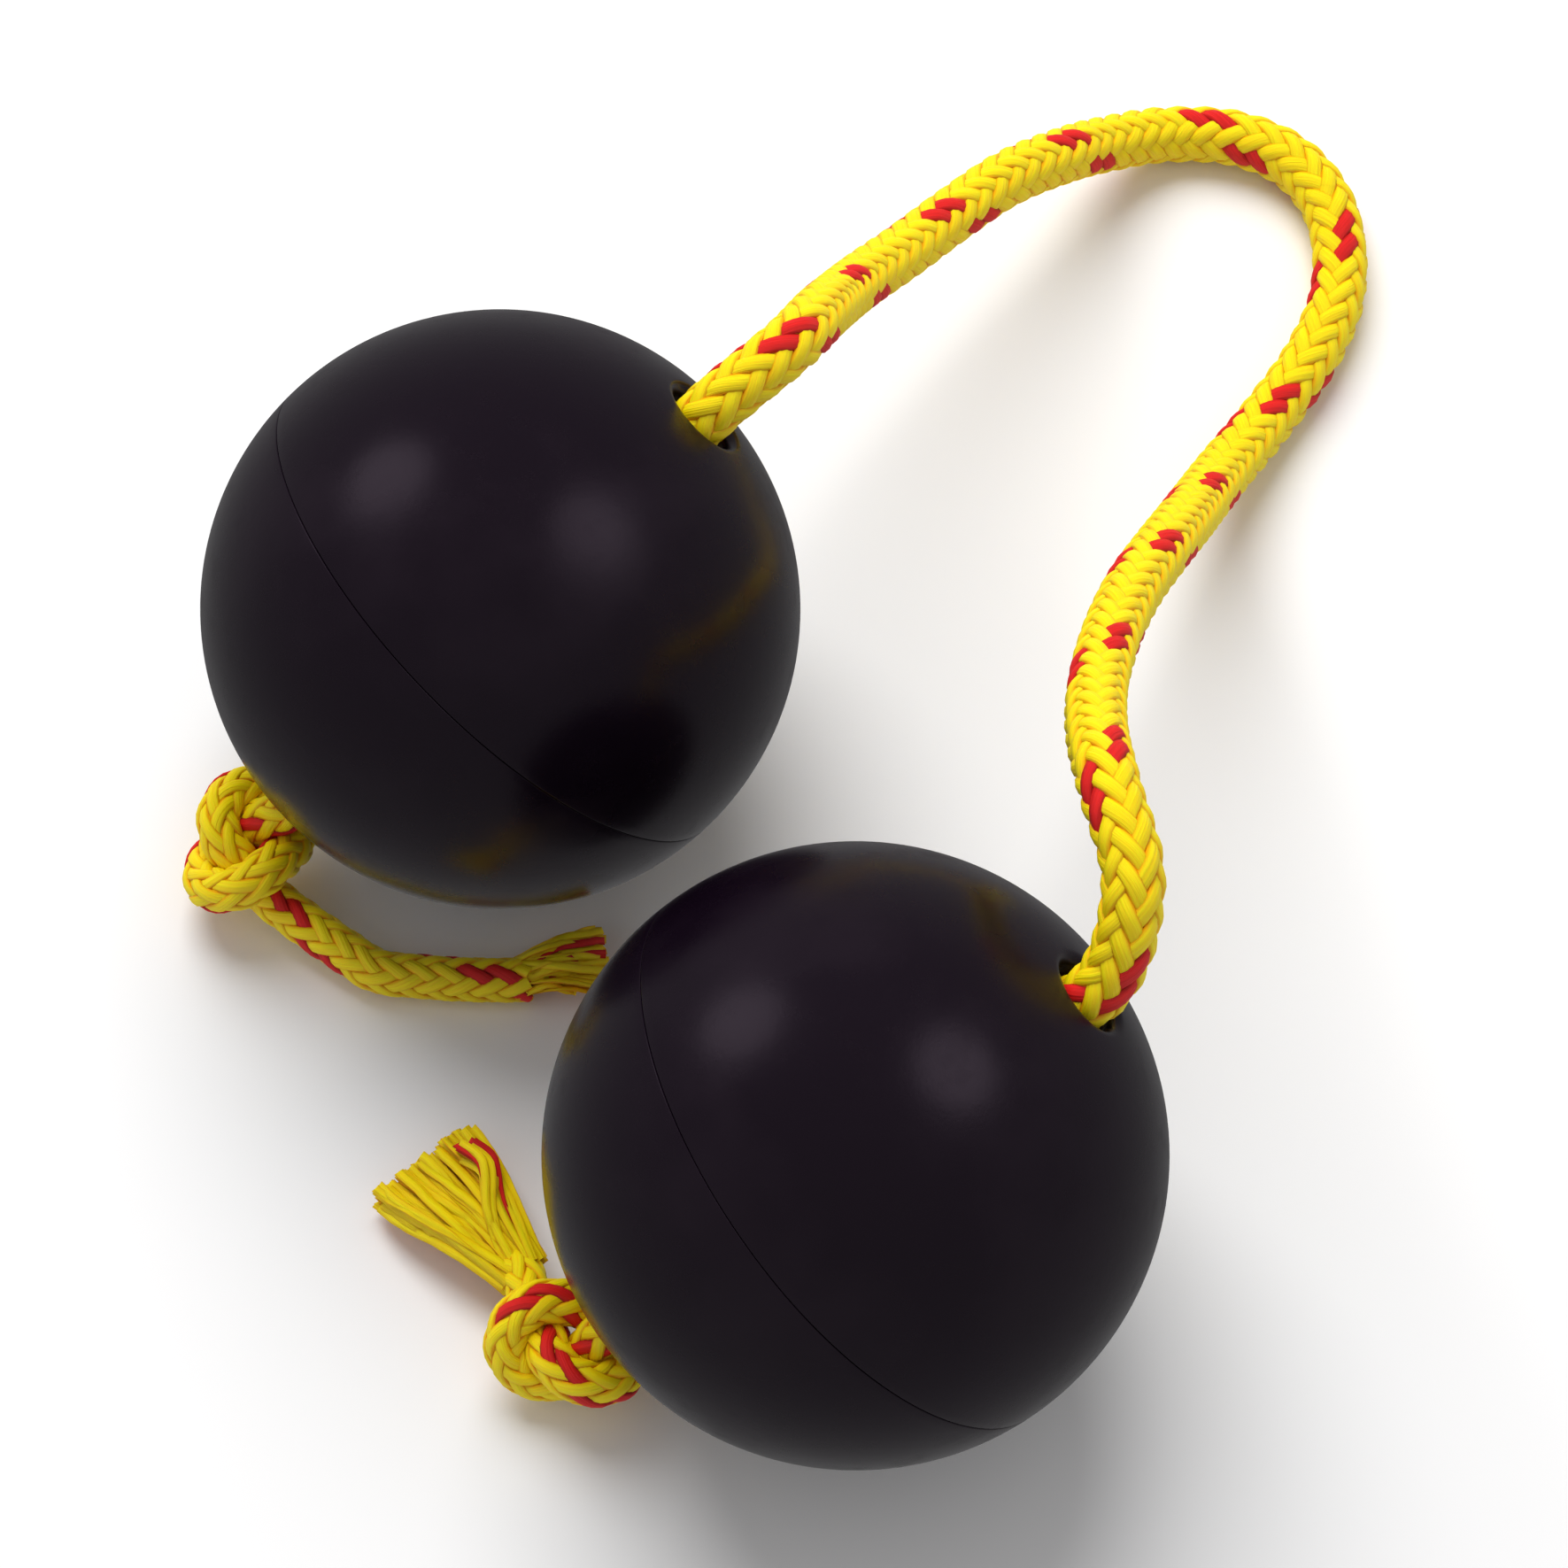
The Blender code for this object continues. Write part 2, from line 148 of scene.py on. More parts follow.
class Nodes:
    """Makes the nodes of one tree, for a material or for geometry."""

    def __init__(self, tree: bpy.types.NodeTree) -> None:
        """Keeps the tree that nodes are added to."""
        self.tree = tree

    def feed(self, socket: bpy.types.NodeSocket, value: object) -> None:
        """Links a socket to a Sock, or sets its own value.

        Args:
            socket: The input to feed.
            value: A Sock, or a plain value.
        """
        if isinstance(value, Sock):
            self.tree.links.new(value.socket, socket)
        else:
            socket.default_value = value

    def node(
        self,
        kind: str,
        settings: dict | None = None,
        inputs: dict | None = None,
        output: int | str = 0,
    ) -> Sock | None:
        """Adds a node.

        Args:
            kind: The node's Blender type.
            settings: Its properties, a capture's "items" among them.
            inputs: Values or Socks by the input's name or number.
            output: The output that is returned.

        Returns:
            The chosen output, or None for a node that has none.
        """
        made = self.tree.nodes.new(kind)
        for name, value in (settings or {}).items():
            if name == "items":
                for label, form in value:
                    made.capture_items.new(form, label)
            else:
                setattr(made, name, value)
        for key, value in (inputs or {}).items():
            self.feed(made.inputs[key], value)
        return Sock(self, made.outputs[output]) if len(made.outputs) else None

    def math(self, operation: str, *values: "Sock | float") -> Sock:
        """A Math node on its values, in order."""
        return self.node("ShaderNodeMath", {"operation": operation}, dict(enumerate(values)))

    def vector(self, operation: str, *values: "Sock | Point") -> Sock:
        """A Vector Math node on its vectors, in order."""
        return self.node("ShaderNodeVectorMath", {"operation": operation}, dict(enumerate(values)))

    def scaled(self, vector: "Sock | Point", amount: "Sock | float") -> Sock:
        """A vector times a number."""
        settings = {"operation": "SCALE"}
        return self.node("ShaderNodeVectorMath", settings, {0: vector, "Scale": amount})

    def dot(self, vector: Sock, way: Point) -> Sock:
        """How far a vector reaches along a direction."""
        inputs = {0: vector, 1: way}
        return self.node("ShaderNodeVectorMath", {"operation": "DOT_PRODUCT"}, inputs, "Value")

    def between(self, value: Sock, low: "Sock | float", high: float) -> Sock:
        """A value's smooth place between two limits.

        Args:
            value: The value.
            low: The limit that gives 0.
            high: The limit that gives 1.

        Returns:
            The place, from 0 to 1.
        """
        settings = {"interpolation_type": "SMOOTHSTEP"}
        inputs = {"Value": value, "From Min": low, "From Max": high}
        return self.node("ShaderNodeMapRange", settings, inputs)


class Finish:
    """One procedural material and the shader that it ends in."""

    def __init__(self, name: str, **constants: object) -> None:
        """Starts a material.

        Args:
            name: The finish's name.
            constants: Shader values that are the same all over, with _ for each space.
        """
        self.material = bpy.data.materials.new(name)
        self.material.use_nodes = True
        self.nodes = Nodes(self.material.node_tree)
        self.shader = self.material.node_tree.nodes["Principled BSDF"]
        for key, value in constants.items():
            self.shader.inputs[key.replace("_", " ")].default_value = value

    def set(self, name: str, value: "Sock | float") -> None:
        """Feeds one of the shader's inputs."""
        self.nodes.feed(self.shader.inputs[name], value)

    def attribute(self, name: str) -> Sock:
        """A number stored on the mesh."""
        return self.nodes.node("ShaderNodeAttribute", {"attribute_name": name}, output="Fac")

    def place(self) -> Sock:
        """Object coordinates."""
        return self.nodes.node("ShaderNodeTexCoord", output="Object")

    def noise(self, scale: float, detail: float = 3.0, where: Sock | None = None) -> Sock:
        """Noise from 0 to 1, on object coordinates unless told otherwise."""
        inputs = {"Vector": where or self.place(), "Scale": scale, "Detail": detail}
        return self.nodes.node("ShaderNodeTexNoise", None, inputs, "Fac")

    def mix(self, share: "Sock | float", low: "Sock | Point", high: "Sock | Point") -> Sock:
        """A colour between two colours."""
        inputs = {0: share, 6: self.colour(low), 7: self.colour(high)}
        return self.nodes.node("ShaderNodeMix", {"data_type": "RGBA"}, inputs, 2)

    @staticmethod
    def colour(value: "Sock | Point") -> "Sock | tuple[float, ...]":
        """A colour as a Mix node takes it."""
        return value if isinstance(value, Sock) else (*value, 1.0)

    def speckle(self, grain: Sock, colour: Point, share: float) -> None:
        """Sets a colour that sinks to a share of itself where the grain is high."""
        self.set("Base Color", self.mix(grain, colour, tuple(c * share for c in colour)))

    def bump(self, height: Sock, distance: float, strength: float = 1.0) -> None:
        """Raises the surface by a height from 0 to 1 times a distance."""
        inputs = {"Height": height, "Distance": distance, "Strength": strength}
        self.set("Normal", self.nodes.node("ShaderNodeBump", None, inputs))


@dataclass(frozen=True)
class BlackShell:
    """Glossy black moulded plastic with a trace of purple, lightly handled."""

    colour: Point = (0.0042, 0.0016, 0.0050)
    haze: Point = (0.0085, 0.0045, 0.0092)
    roughness: float = 0.25
    wear: float = 0.08
    smear: float = 0.05
    peel_height: float = 0.000012

    def make(self) -> bpy.types.Material:
        """Mixes handled and clean plastic and adds a faint moulded peel.

        Returns:
            The finish.
        """
        finish = Finish(
            "black_shell", Specular_IOR_Level=0.42, IOR=1.49, Specular_Tint=(1.0, 0.84, 1.0, 1.0),
        )
        handled = finish.nodes.between(finish.noise(70.0, 4.0), 0.42, 0.70)
        smear = finish.nodes.between(finish.noise(420.0, 6.0), 0.50, 0.75)
        finish.set("Base Color", finish.mix(handled * 0.7, self.colour, self.haze))
        finish.set("Roughness", self.roughness + self.wear * handled + self.smear * smear)
        peel = finish.noise(900.0, 2.0) * 0.6 + finish.noise(3200.0, 2.0) * 0.4
        finish.bump(peel, self.peel_height)
        return finish.material


@dataclass(frozen=True)
class YarnFinish:
    """Polypropylene yarn: many fine filaments side by side, with painted shade on each yarn's flanks
    and inner side, between the yarns.
    """

    yellow: Point = (1.0, 0.67, 0.0)
    pale: Point = (1.0, 0.80, 0.002)
    # Painted shade: the orange that each yarn's flanks and inner side turn to.
    painted_shade: Point = (0.95, 0.36, 0.0)
    red: Point = (0.78, 0.014, 0.012)
    # Dark red for the red yarns' random tone, and for their painted shade on the flanks and inner side.
    dark_red_tone_and_shade: Point = (0.45, 0.006, 0.006)
    roughness: float = 0.48
    filaments: float = 4.2
    streaks_per_metre: float = 240.0
    yarn_step: float = 7.3
    # How far a yarn surface must face outward to lose the painted shade.
    painted_shade_limits: tuple[float, float] = (-0.10, 0.90)
    fibre_limits: tuple[float, float] = (0.32, 0.66)
    depth: float = 0.00012

    def make(self) -> bpy.types.Material:
        """Lays the filaments along each yarn from the braid's own attributes, and paints shade on each
        yarn's flanks and inner side.

        Returns:
            The finish.
        """
        finish = Finish(
            "braid_yarn", Specular_IOR_Level=0.40, Subsurface_Weight=0.25,
            Subsurface_Radius=(1.0, 0.45, 0.05), Subsurface_Scale=0.0010,
        )
        crest, flank = finish.attribute("crest"), finish.attribute("flank")
        lay = {
            "X": crest * self.filaments,
            "Y": finish.attribute("along") * self.streaks_per_metre,
            "Z": flank * self.filaments + finish.attribute("yarn") * self.yarn_step,
        }
        where = finish.nodes.node("ShaderNodeCombineXYZ", None, lay)
        fibre = finish.noise(1.0, 4.0, where)
        # Painted shade: a yarn's flanks and inner side, between its neighbours, darken to orange, and
        # red yarns to dark red; only the outward crest keeps the full colour.
        unshaded_crest = finish.nodes.between(crest, *self.painted_shade_limits)
        tone = finish.nodes.between(fibre, *self.fibre_limits)
        yellow = finish.mix(tone * 0.8, self.yellow, self.pale)
        yellow = finish.mix(unshaded_crest, self.painted_shade, yellow)
        red = finish.mix(unshaded_crest, self.dark_red_tone_and_shade, finish.mix(tone * 0.35, self.red, self.dark_red_tone_and_shade))
        dyed = finish.attribute("red")
        finish.set("Base Color", finish.mix(dyed, yellow, red))
        finish.set("Roughness", self.roughness + fibre * 0.22)
        finish.bump(fibre, self.depth)
        return finish.material


@dataclass(frozen=True)
class CorePlastic:
    """The dull yellow filling inside the braid."""

    colour: Point = (0.40, 0.20, 0.004)

    def make(self) -> bpy.types.Material:
        """Speckles the filling.

        Returns:
            The finish.
        """
        finish = Finish("braid_core")
        noise = finish.noise(900.0)
        finish.speckle(noise, self.colour, 0.5)
        finish.set("Roughness", 0.7 + noise * 0.2)
        return finish.material


@dataclass(frozen=True)
class SleevePlastic:
    """Plain extruded natural plastic with faint draw lines."""

    colour: Point = (0.60, 0.58, 0.52)

    def make(self) -> bpy.types.Material:
        """Clouds the plastic and adds the draw lines.

        Returns:
            The finish.
        """
        finish = Finish("sleeve_plastic")
        noise = finish.noise(500.0)
        finish.speckle(noise, self.colour, 0.86)
        finish.set("Roughness", 0.40 + noise * 0.15)
        finish.bump(finish.noise(1500.0), 0.00002)
        return finish.material


@dataclass(frozen=True)
class BeadSteel:
    """Dull tumbled steel."""

    colour: Point = (0.55, 0.55, 0.57)

    def make(self) -> bpy.types.Material:
        """Varies the steel with one fine grain.

        Returns:
            The finish.
        """
        finish = Finish("bead_steel", Metallic=1.0)
        noise = finish.noise(1800.0, 5.0)
        finish.speckle(noise, self.colour, 0.7)
        finish.set("Roughness", 0.22 + noise * 0.25)
        finish.bump(noise, 0.00003)
        return finish.material


@dataclass(frozen=True)
class FloorPaper:
    """Pale matt paper."""

    colour: Point = (0.90, 0.90, 0.90)

    def make(self) -> bpy.types.Material:
        """Varies the paper very slightly.

        Returns:
            The finish.
        """
        finish = Finish("floor_paper", Specular_IOR_Level=0.1)
        noise = finish.noise(40.0)
        finish.speckle(noise, self.colour, 0.985)
        finish.set("Roughness", 0.85 + noise * 0.1)
        return finish.material


class Route:
    """A smooth line through chosen points."""

    def __init__(self, points: list[Vector], spacing: float = 0.0006) -> None:
        """Smooths the chosen points.

        Args:
            points: The points that the line goes through.
            spacing: The most between two points of the smooth line.
        """
        self.points = self.smooth([Vector(p) for p in points], spacing)

    @staticmethod
    def smooth(points: list[Vector], spacing: float) -> list[Vector]:
        """Runs one smooth curve through the chosen points.

        Args:
            points: The chosen points.
            spacing: The most between two points of the curve.

        Returns:
            The curve's points.
        """
        spans = [(b - a).length for a, b in zip(points, points[1:])]
        slopes = [(points[1] - points[0]) / spans[0]]
        near = zip(points, points[1:], points[2:], spans, spans[1:])
        for before, here, after, back, ahead in near:
            slope = (here - before) / back * ahead + (after - here) / ahead * back
            slopes.append(slope / (back + ahead))
        slopes.append((points[-1] - points[-2]) / spans[-1])
        route = [points[0]]
        for i, span in enumerate(spans):
            steps = max(1, math.ceil(span / spacing))
            for t in [(k + 1) / steps for k in range(steps)]:
                route.append(
                    (2 * t ** 3 - 3 * t ** 2 + 1) * points[i]
                    + (t ** 3 - 2 * t ** 2 + t) * span * slopes[i]
                    + (3 * t ** 2 - 2 * t ** 3) * points[i + 1]
                    + (t ** 3 - t ** 2) * span * slopes[i + 1]
                )
        return route

    @property
    def length(self) -> float:
        """The line's length."""
        return sum((b - a).length for a, b in zip(self.points, self.points[1:]))

    def stretch(self, start: float, end: float) -> list[Vector]:
        """Cuts a stretch out of the line.

        Args:
            start: Length along the line where it begins.
            end: Length where it ends.

        Returns:
            The stretch's points.
        """
        kept, along = [], 0.0
        for a, b in zip(self.points, self.points[1:]):
            if start <= along <= end:
                kept.append(a)
            along += (b - a).length
        return kept

    def curve(self, name: str, radii: list[float] | None = None) -> bpy.types.Object:
        """The line as a curve object, with a share of full thickness at each point.

        Args:
            name: The object's name.
            radii: The shares, or None for full thickness all along.

        Returns:
            The curve object, linked to the scene.
        """
        data = bpy.data.curves.new(name, "CURVE")
        data.dimensions = "3D"
        spline = data.splines.new("POLY")
        spline.points.add(len(self.points) - 1)
        for i, (point, place) in enumerate(zip(spline.points, self.points)):
            point.co = (*place, 1.0)
            point.radius = radii[i] if radii else 1.0
        return placed(name, data)


class Maker:
    """Runs a geometry tree on a curve and keeps the result as a plain mesh."""

    def __init__(self, name: str, sizes: dict[str, tuple[str, object]]) -> None:
        """Starts the tree.

        Args:
            name: The tree's name.
            sizes: Each named input's socket type and value.
        """
        self.tree = bpy.data.node_groups.new(name, "GeometryNodeTree")
        self.nodes = Nodes(self.tree)
        face = self.tree.interface
        face.new_socket("Geometry", in_out="INPUT", socket_type="NodeSocketGeometry")
        face.new_socket("Geometry", in_out="OUTPUT", socket_type="NodeSocketGeometry")
        self.sockets = {}
        for label, (form, value) in sizes.items():
            socket = face.new_socket(label, in_out="INPUT", socket_type=f"NodeSocket{form}")
            if form != "Material":
                socket.default_value = value
            self.sockets[label] = socket.identifier
        self.entry = self.nodes.node("NodeGroupInput")
        self.route = self.entry.output("Geometry")

    def size(self, label: str) -> Sock:
        """A named input of the tree."""
        return self.entry.output(label)

    def store(self, geometry: Sock, label: str, value: Sock) -> Sock:
        """Keeps a number under a name on a curve's points.

        Args:
            geometry: The curve.
            label: The name.
            value: The number.

        Returns:
            The curve with the number on it.
        """
        inputs = {"Geometry": geometry, "Name": label, "Value": value}
        settings = {"data_type": "FLOAT", "domain": "POINT"}
        return self.nodes.node("GeometryNodeStoreNamedAttribute", settings, inputs)

    def circle(self, points: int, radius: "Sock | float") -> Sock:
        """A flat circle of a few points."""
        inputs = {"Resolution": points, "Radius": radius}
        return self.nodes.node("GeometryNodeCurvePrimitiveCircle", {"mode": "RADIUS"}, inputs)

    def yarn_outline(self, points: int) -> Sock:
        """Draws a yarn's flat oval outline, which knows its open side and its flanks.

        Args:
            points: Number of points round it.

        Returns:
            The outline, at the tree's yarn sizes.
        """
        n = self.nodes
        outline = self.circle(points, 0.5)
        for label, way in (("crest", (2.0, 0.0, 0.0)), ("flank", (0.0, 2.0, 0.0))):
            outline = self.store(outline, label, n.dot(n.node("GeometryNodeInputPosition"), way))
        shape = {"X": self.size("Yarn Thickness"), "Y": self.size("Yarn Width"), "Z": 1.0}
        scale = n.node("ShaderNodeCombineXYZ", None, shape)
        return n.node("GeometryNodeTransform", None, {"Geometry": outline, "Scale": scale})

    def tube(self, line: Sock, outline: Sock, material: Sock) -> Sock:
        """Runs an outline along a line as a closed, smooth tube.

        Args:
            line: The line.
            outline: The outline.
            material: The finish.

        Returns:
            The tube.
        """
        n = self.nodes
        inputs = {"Curve": line, "Profile Curve": outline, "Fill Caps": True}
        inputs["Scale"] = n.node("GeometryNodeInputRadius")
        made = n.node("GeometryNodeCurveToMesh", None, inputs)
        smooth = n.node("GeometryNodeSetShadeSmooth", None, {"Geometry": made})
        return n.node("GeometryNodeSetMaterial", None, {"Geometry": smooth, "Material": material})

    def close(self, geometry: Sock) -> None:
        """Ends the tree with the geometry made real."""
        real = self.nodes.node("GeometryNodeRealizeInstances", None, {0: geometry})
        self.nodes.node("NodeGroupOutput", None, {"Geometry": real})

    def run(self, guide: bpy.types.Object, name: str, **sizes: object) -> bpy.types.Object:
        """Makes a piece.

        Args:
            guide: The curve that the tree works on; it is removed.
            name: The piece's name.
            sizes: Named inputs that differ from the tree's own, with _ for each space.

        Returns:
            The piece, a mesh with its place in its vertices.
        """
        modifier = guide.modifiers.new("make", "NODES")
        modifier.node_group = self.tree
        for label, value in sizes.items():
            modifier[self.sockets[label.replace("_", " ")]] = value
        bpy.context.view_layer.update()
        depsgraph = bpy.context.evaluated_depsgraph_get()
        mesh = bpy.data.meshes.new_from_object(guide.evaluated_get(depsgraph))
        bpy.data.objects.remove(guide)
        mesh.name = name
        return placed(name, mesh)


@dataclass
class RoundBraid:
    """The sizes of the cord's round braid, and the tree that weaves it on a route."""

    yarn: bpy.types.Material
    core: bpy.types.Material
    diameter: float = 0.0052
    carriers: int = 16
    pitch: float = 0.0190
    wave: float = 0.00024
    yarn_width: float = 0.00156
    yarn_thickness: float = 0.00086
    core_radius: float = 0.00185
    spacing: float = 0.0005
    yarn_points: int = 8
    core_points: int = 16
    maker: Maker = field(init=False)

    def __post_init__(self) -> None:
        """Builds the tree once."""
        self.maker = Maker("round_braid", {
            "Carriers": ("Int", self.carriers),
            "Pitch": ("Float", self.pitch),
            "Middle Radius": ("Float", self.middle_radius),
            "Wave": ("Float", self.wave),
            "Yarn Width": ("Float", self.yarn_width),
            "Yarn Thickness": ("Float", self.yarn_thickness),
            "Core Radius": ("Float", self.core_radius),
            "Spacing": ("Float", self.spacing),
            "Start": ("Float", 0.0),
            "End": ("Float", 1.0),
            "Turn": ("Float", 0.0),
            "First Red": ("Int", 0),
            "Yarn": ("Material", None),
            "Core": ("Material", None),
        })
        self.weave()

    @property
    def middle_radius(self) -> float:
        """How far the yarns' middle layer runs from the cord's centreline."""
        return self.diameter / 2 - self.wave - self.yarn_thickness / 2

    def weave(self) -> None:
        """Half the yarns turn each way and pass over two and under two of the others."""
        maker, n = self.maker, self.maker.nodes
        inputs = {"Curve": maker.route, "Length": maker.size("Spacing")}
        even = n.node("GeometryNodeResampleCurve", {"mode": "LENGTH"}, inputs)
        items = [("Side", "VECTOR"), ("Ahead", "VECTOR"), ("Along", "FLOAT")]
        kept = n.node("GeometryNodeCaptureAttribute", {"items": items}, {
            "Geometry": even,
            "Side": n.node("GeometryNodeInputNormal"),
            "Ahead": n.node("GeometryNodeInputTangent"),
            "Along": n.node("GeometryNodeSplineParameter", output="Length"),
        })
        side, ahead, along = (kept.output(name) for name, _ in items)
        cut = n.node("GeometryNodeTrimCurve", {"mode": "LENGTH"}, {
            "Curve": kept.output("Geometry"),
            4: maker.size("Start"),
            5: maker.size("End"),
        })
        copies = n.node("GeometryNodeDuplicateElements", {"domain": "SPLINE"}, {
            "Geometry": cut,
            "Amount": maker.size("Carriers"),
        })
        number = copies.output("Duplicate Index")
        half = maker.size("Carriers") * 0.5
        back = n.math("GREATER_THAN", number, half - 0.5)
        way = 1.0 - back * 2.0
        place = number - back * half
        turn = along * math.tau / maker.size("Pitch")
        angle = place * math.tau / half + way * turn + maker.size("Turn")
        # Over two yarns and under two: one full wave for every four that are crossed.
        beat = way * turn * (half * 0.5) + place * math.pi - math.pi / 4
        lift = n.math("COSINE", beat) * way * maker.size("Wave") + maker.size("Middle Radius")
        across = n.vector("CROSS_PRODUCT", ahead, side)
        out = n.vector(
            "ADD",
            n.scaled(side, n.math("COSINE", angle)),
            n.scaled(across, n.math("SINE", angle)),
        )
        radius = n.node("GeometryNodeInputRadius")
        moved = n.node("GeometryNodeSetPosition", None, {
            "Geometry": copies,
            "Offset": n.scaled(out, lift * radius),
        })
        # Two neighbouring yarns of one lay are red.
        red_place = n.math("COMPARE", place, maker.size("First Red") + 0.5, 0.6)
        for label, value in (
            ("along", along), ("yarn", number), ("red", red_place * (1.0 - back)),
        ):
            moved = maker.store(moved, label, value)
        faced = n.node("GeometryNodeSetCurveNormal", {"mode": "FREE"}, {
            "Curve": moved,
            "Normal": out,
        })
        yarns = maker.tube(faced, maker.yarn_outline(self.yarn_points), maker.size("Yarn"))
        bore = maker.circle(self.core_points, maker.size("Core Radius"))
        core = maker.tube(cut, bore, maker.size("Core"))
        joined = n.node("GeometryNodeJoinGeometry")
        n.tree.links.new(yarns.socket, joined.socket.node.inputs[0])
        n.tree.links.new(core.socket, joined.socket.node.inputs[0])
        maker.close(joined)

    def make(
        self,
        route: Route,
        name: str,
        start: float = 0.0,
        end: float | None = None,
        radii: list[float] | None = None,
        **sizes: object,
    ) -> bpy.types.Object:
        """Weaves the cord along a route.

        Args:
            route: The cord's centreline.
            name: The piece's name.
            start: Length along the route where the piece begins.
            end: Length where it ends, or None for the route's end.
            radii: Shares of full thickness at the route's points.
            sizes: Other inputs of the tree.

        Returns:
            The woven piece.
        """
        stop = route.length if end is None else end
        return self.maker.run(
            route.curve(f"{name}_route", radii), name,
            Start=start, End=stop, Yarn=self.yarn, Core=self.core, **sizes,
        )


@dataclass
class Ball:
    """One hollow ball: two turned half shells with a lapped seam, and what they hold."""

    side: Side
    shell: bpy.types.Material
    sleeve: bpy.types.Material
    steel: bpy.types.Material
    wall: float = 0.0020
    hole_radius: float = 0.0031
    hole_round: float = 0.0009
    seam_round: float = 0.00010
    seam_gap: float = 0.00003
    lap: float = 0.0025
    lip: float = 0.00085
    turns: int = 168
    arc_steps: int = 44
    rim_steps: int = 10
    corner_steps: tuple[int, ...] = (22, 45, 67, 90)
    sharp_angle: float = math.radians(40)
    centre: Vector = field(init=False)
    radius: float = field(init=False)
    axis: Vector = field(init=False)

    def __post_init__(self) -> None:
        """Reads the ball's place and size from the frame."""
        boxes = [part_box(f"{half}_half_shell_{self.side.value}") for half in ("loop", "knot")]
        low = Vector(min(b[0][k] for b in boxes) for k in range(3))
        high = Vector(max(b[1][k] for b in boxes) for k in range(3))
        spin = self.joint("ball_spin")
        self.centre = Vector(spin["pos_m"])
        self.axis = Vector(spin["axis"]).normalized()
        self.radius = max(high[k] - low[k] for k in range(3)) / 2

    def joint(self, name: str) -> dict:
        """The record's joint of that name on this side."""
        return next(j for j in frame["joints"] if j["name"] == f"{name}_{self.side.value}")

    @property
    def turn(self) -> Matrix:
        """The ball's own frame.

        Returns:
            A matrix with Z toward the loop and Y uphill.
        """
        across = UP.cross(self.axis).normalized()
        columns = Matrix((across, self.axis.cross(across), self.axis)).transposed()
        return Matrix.Translation(self.centre) @ columns.to_4x4()

    @property
    def mouth(self) -> Vector:
        """Where the cord leaves the ball toward the loop."""
        return self.centre + self.axis * self.radius

    def arc(self, radius: float, start: float, stop: float, steps: int) -> list[tuple]:
        """(radius, height) points on a circle about the centre, by angle from the axis."""
        turn = [start + (stop - start) * i / steps for i in range(steps + 1)]
        return [(radius * math.sin(a), radius * math.cos(a)) for a in turn]

    def rim(self) -> list[tuple]:
        """Draws the rounded edge of the hole.

        Returns:
            (radius, height) points from inside the bore out to the ball's surface.
        """
        out = self.hole_radius + self.hole_round
        up = math.sqrt((self.radius - self.hole_round) ** 2 - out ** 2)
        lean = math.asin(out / (self.radius - self.hole_round))
        steps = self.rim_steps
        turn = [-math.pi / 2 + (lean + math.pi / 2) * i / steps for i in range(steps + 1)]
        return [(out + self.hole_round * math.sin(a), up + self.hole_round * math.cos(a)) for a in turn]

    def profile(self, lapped: bool) -> list[tuple]:
        """One half's closed outline, from the bore outside and round to the inside.

        Args:
            lapped: True for the half whose inner lip reaches past the seam.

        Returns:
            (radius, height) points, with the seam at height 0.
        """
        lean = math.asin((self.hole_radius + self.hole_round) / (self.radius - self.hole_round))
        edge, low = self.seam_round, self.seam_gap
        flat = math.pi / 2 - (edge + low) / self.radius
        outside = self.arc(self.radius, lean, flat, self.arc_steps)[1:]
        centre = (self.radius - edge, low + edge)
        corner = [
            (centre[0] + edge * math.cos(a), centre[1] - edge * math.sin(a))
            for a in (math.radians(step) for step in self.corner_steps)
        ]
        inner = self.radius - self.wall
        bore = math.asin(self.hole_radius / inner)
        if lapped:
            spigot = self.radius - self.lip - 2 * low
            lip = [(spigot, low), (spigot, -self.lap), (inner + low, -self.lap), (inner, 0.0)]
            inside = self.arc(inner, math.pi / 2, bore, self.arc_steps // 2)[1:]
        else:
            rebate = self.lap + 2 * low
            lip = [(self.radius - self.lip, low), (self.radius - self.lip, rebate)]
            start = math.acos(rebate / inner)
            inside = self.arc(inner, start, bore, self.arc_steps // 2)
        return self.rim() + outside + corner + lip + inside

    def turned(self, name: str, lapped: bool) -> bpy.types.Object:
        """Turns a half shell round the ball's axis and sets it in place.

        Args:
            name: The piece's name.
            lapped: True for the half whose inner lip reaches past the seam.

        Returns:
            The half shell.
        """
        points = self.profile(lapped)
        if not lapped:
            points = [(r, -z) for r, z in points]
        bm = bmesh.new()
        rings = []
        for i in range(self.turns):
            a = math.tau * i / self.turns
            rings.append([bm.verts.new((r * math.cos(a), r * math.sin(a), z)) for r, z in points])
        for i, ring in enumerate(rings):
            after = rings[(i + 1) % self.turns]
            for j in range(len(points)):
                k = (j + 1) % len(points)
                bm.faces.new((ring[j], after[j], after[k], ring[k]))
        bmesh.ops.recalc_face_normals(bm, faces=bm.faces)
        bmesh.ops.transform(bm, matrix=self.turn, verts=bm.verts)
        mesh = bpy.data.meshes.new(name)
        bm.to_mesh(mesh)
        bm.free()
        mesh.shade_smooth()
        mesh.set_sharp_from_angle(angle=self.sharp_angle)
        mesh.materials.append(self.shell)
        return placed(name, mesh)

    def build(self) -> None:
        """Makes both half shells and dresses the sleeve and beads."""
        side = self.side.value
        for half, lapped in (("loop", True), ("knot", False)):
            piece = self.turned(f"{half}_shell_{side}", lapped)
            settle(piece, f"ball_{side}", "ball_shell", f"{half}_half_shell_{side}")
        for name, node in frame["nodes"].items():
            if name == f"centre_sleeve_{side}":
                dress(node, self.sleeve)
            elif name.startswith(f"rattle_bead_{side}_"):
                dress(node, self.steel)


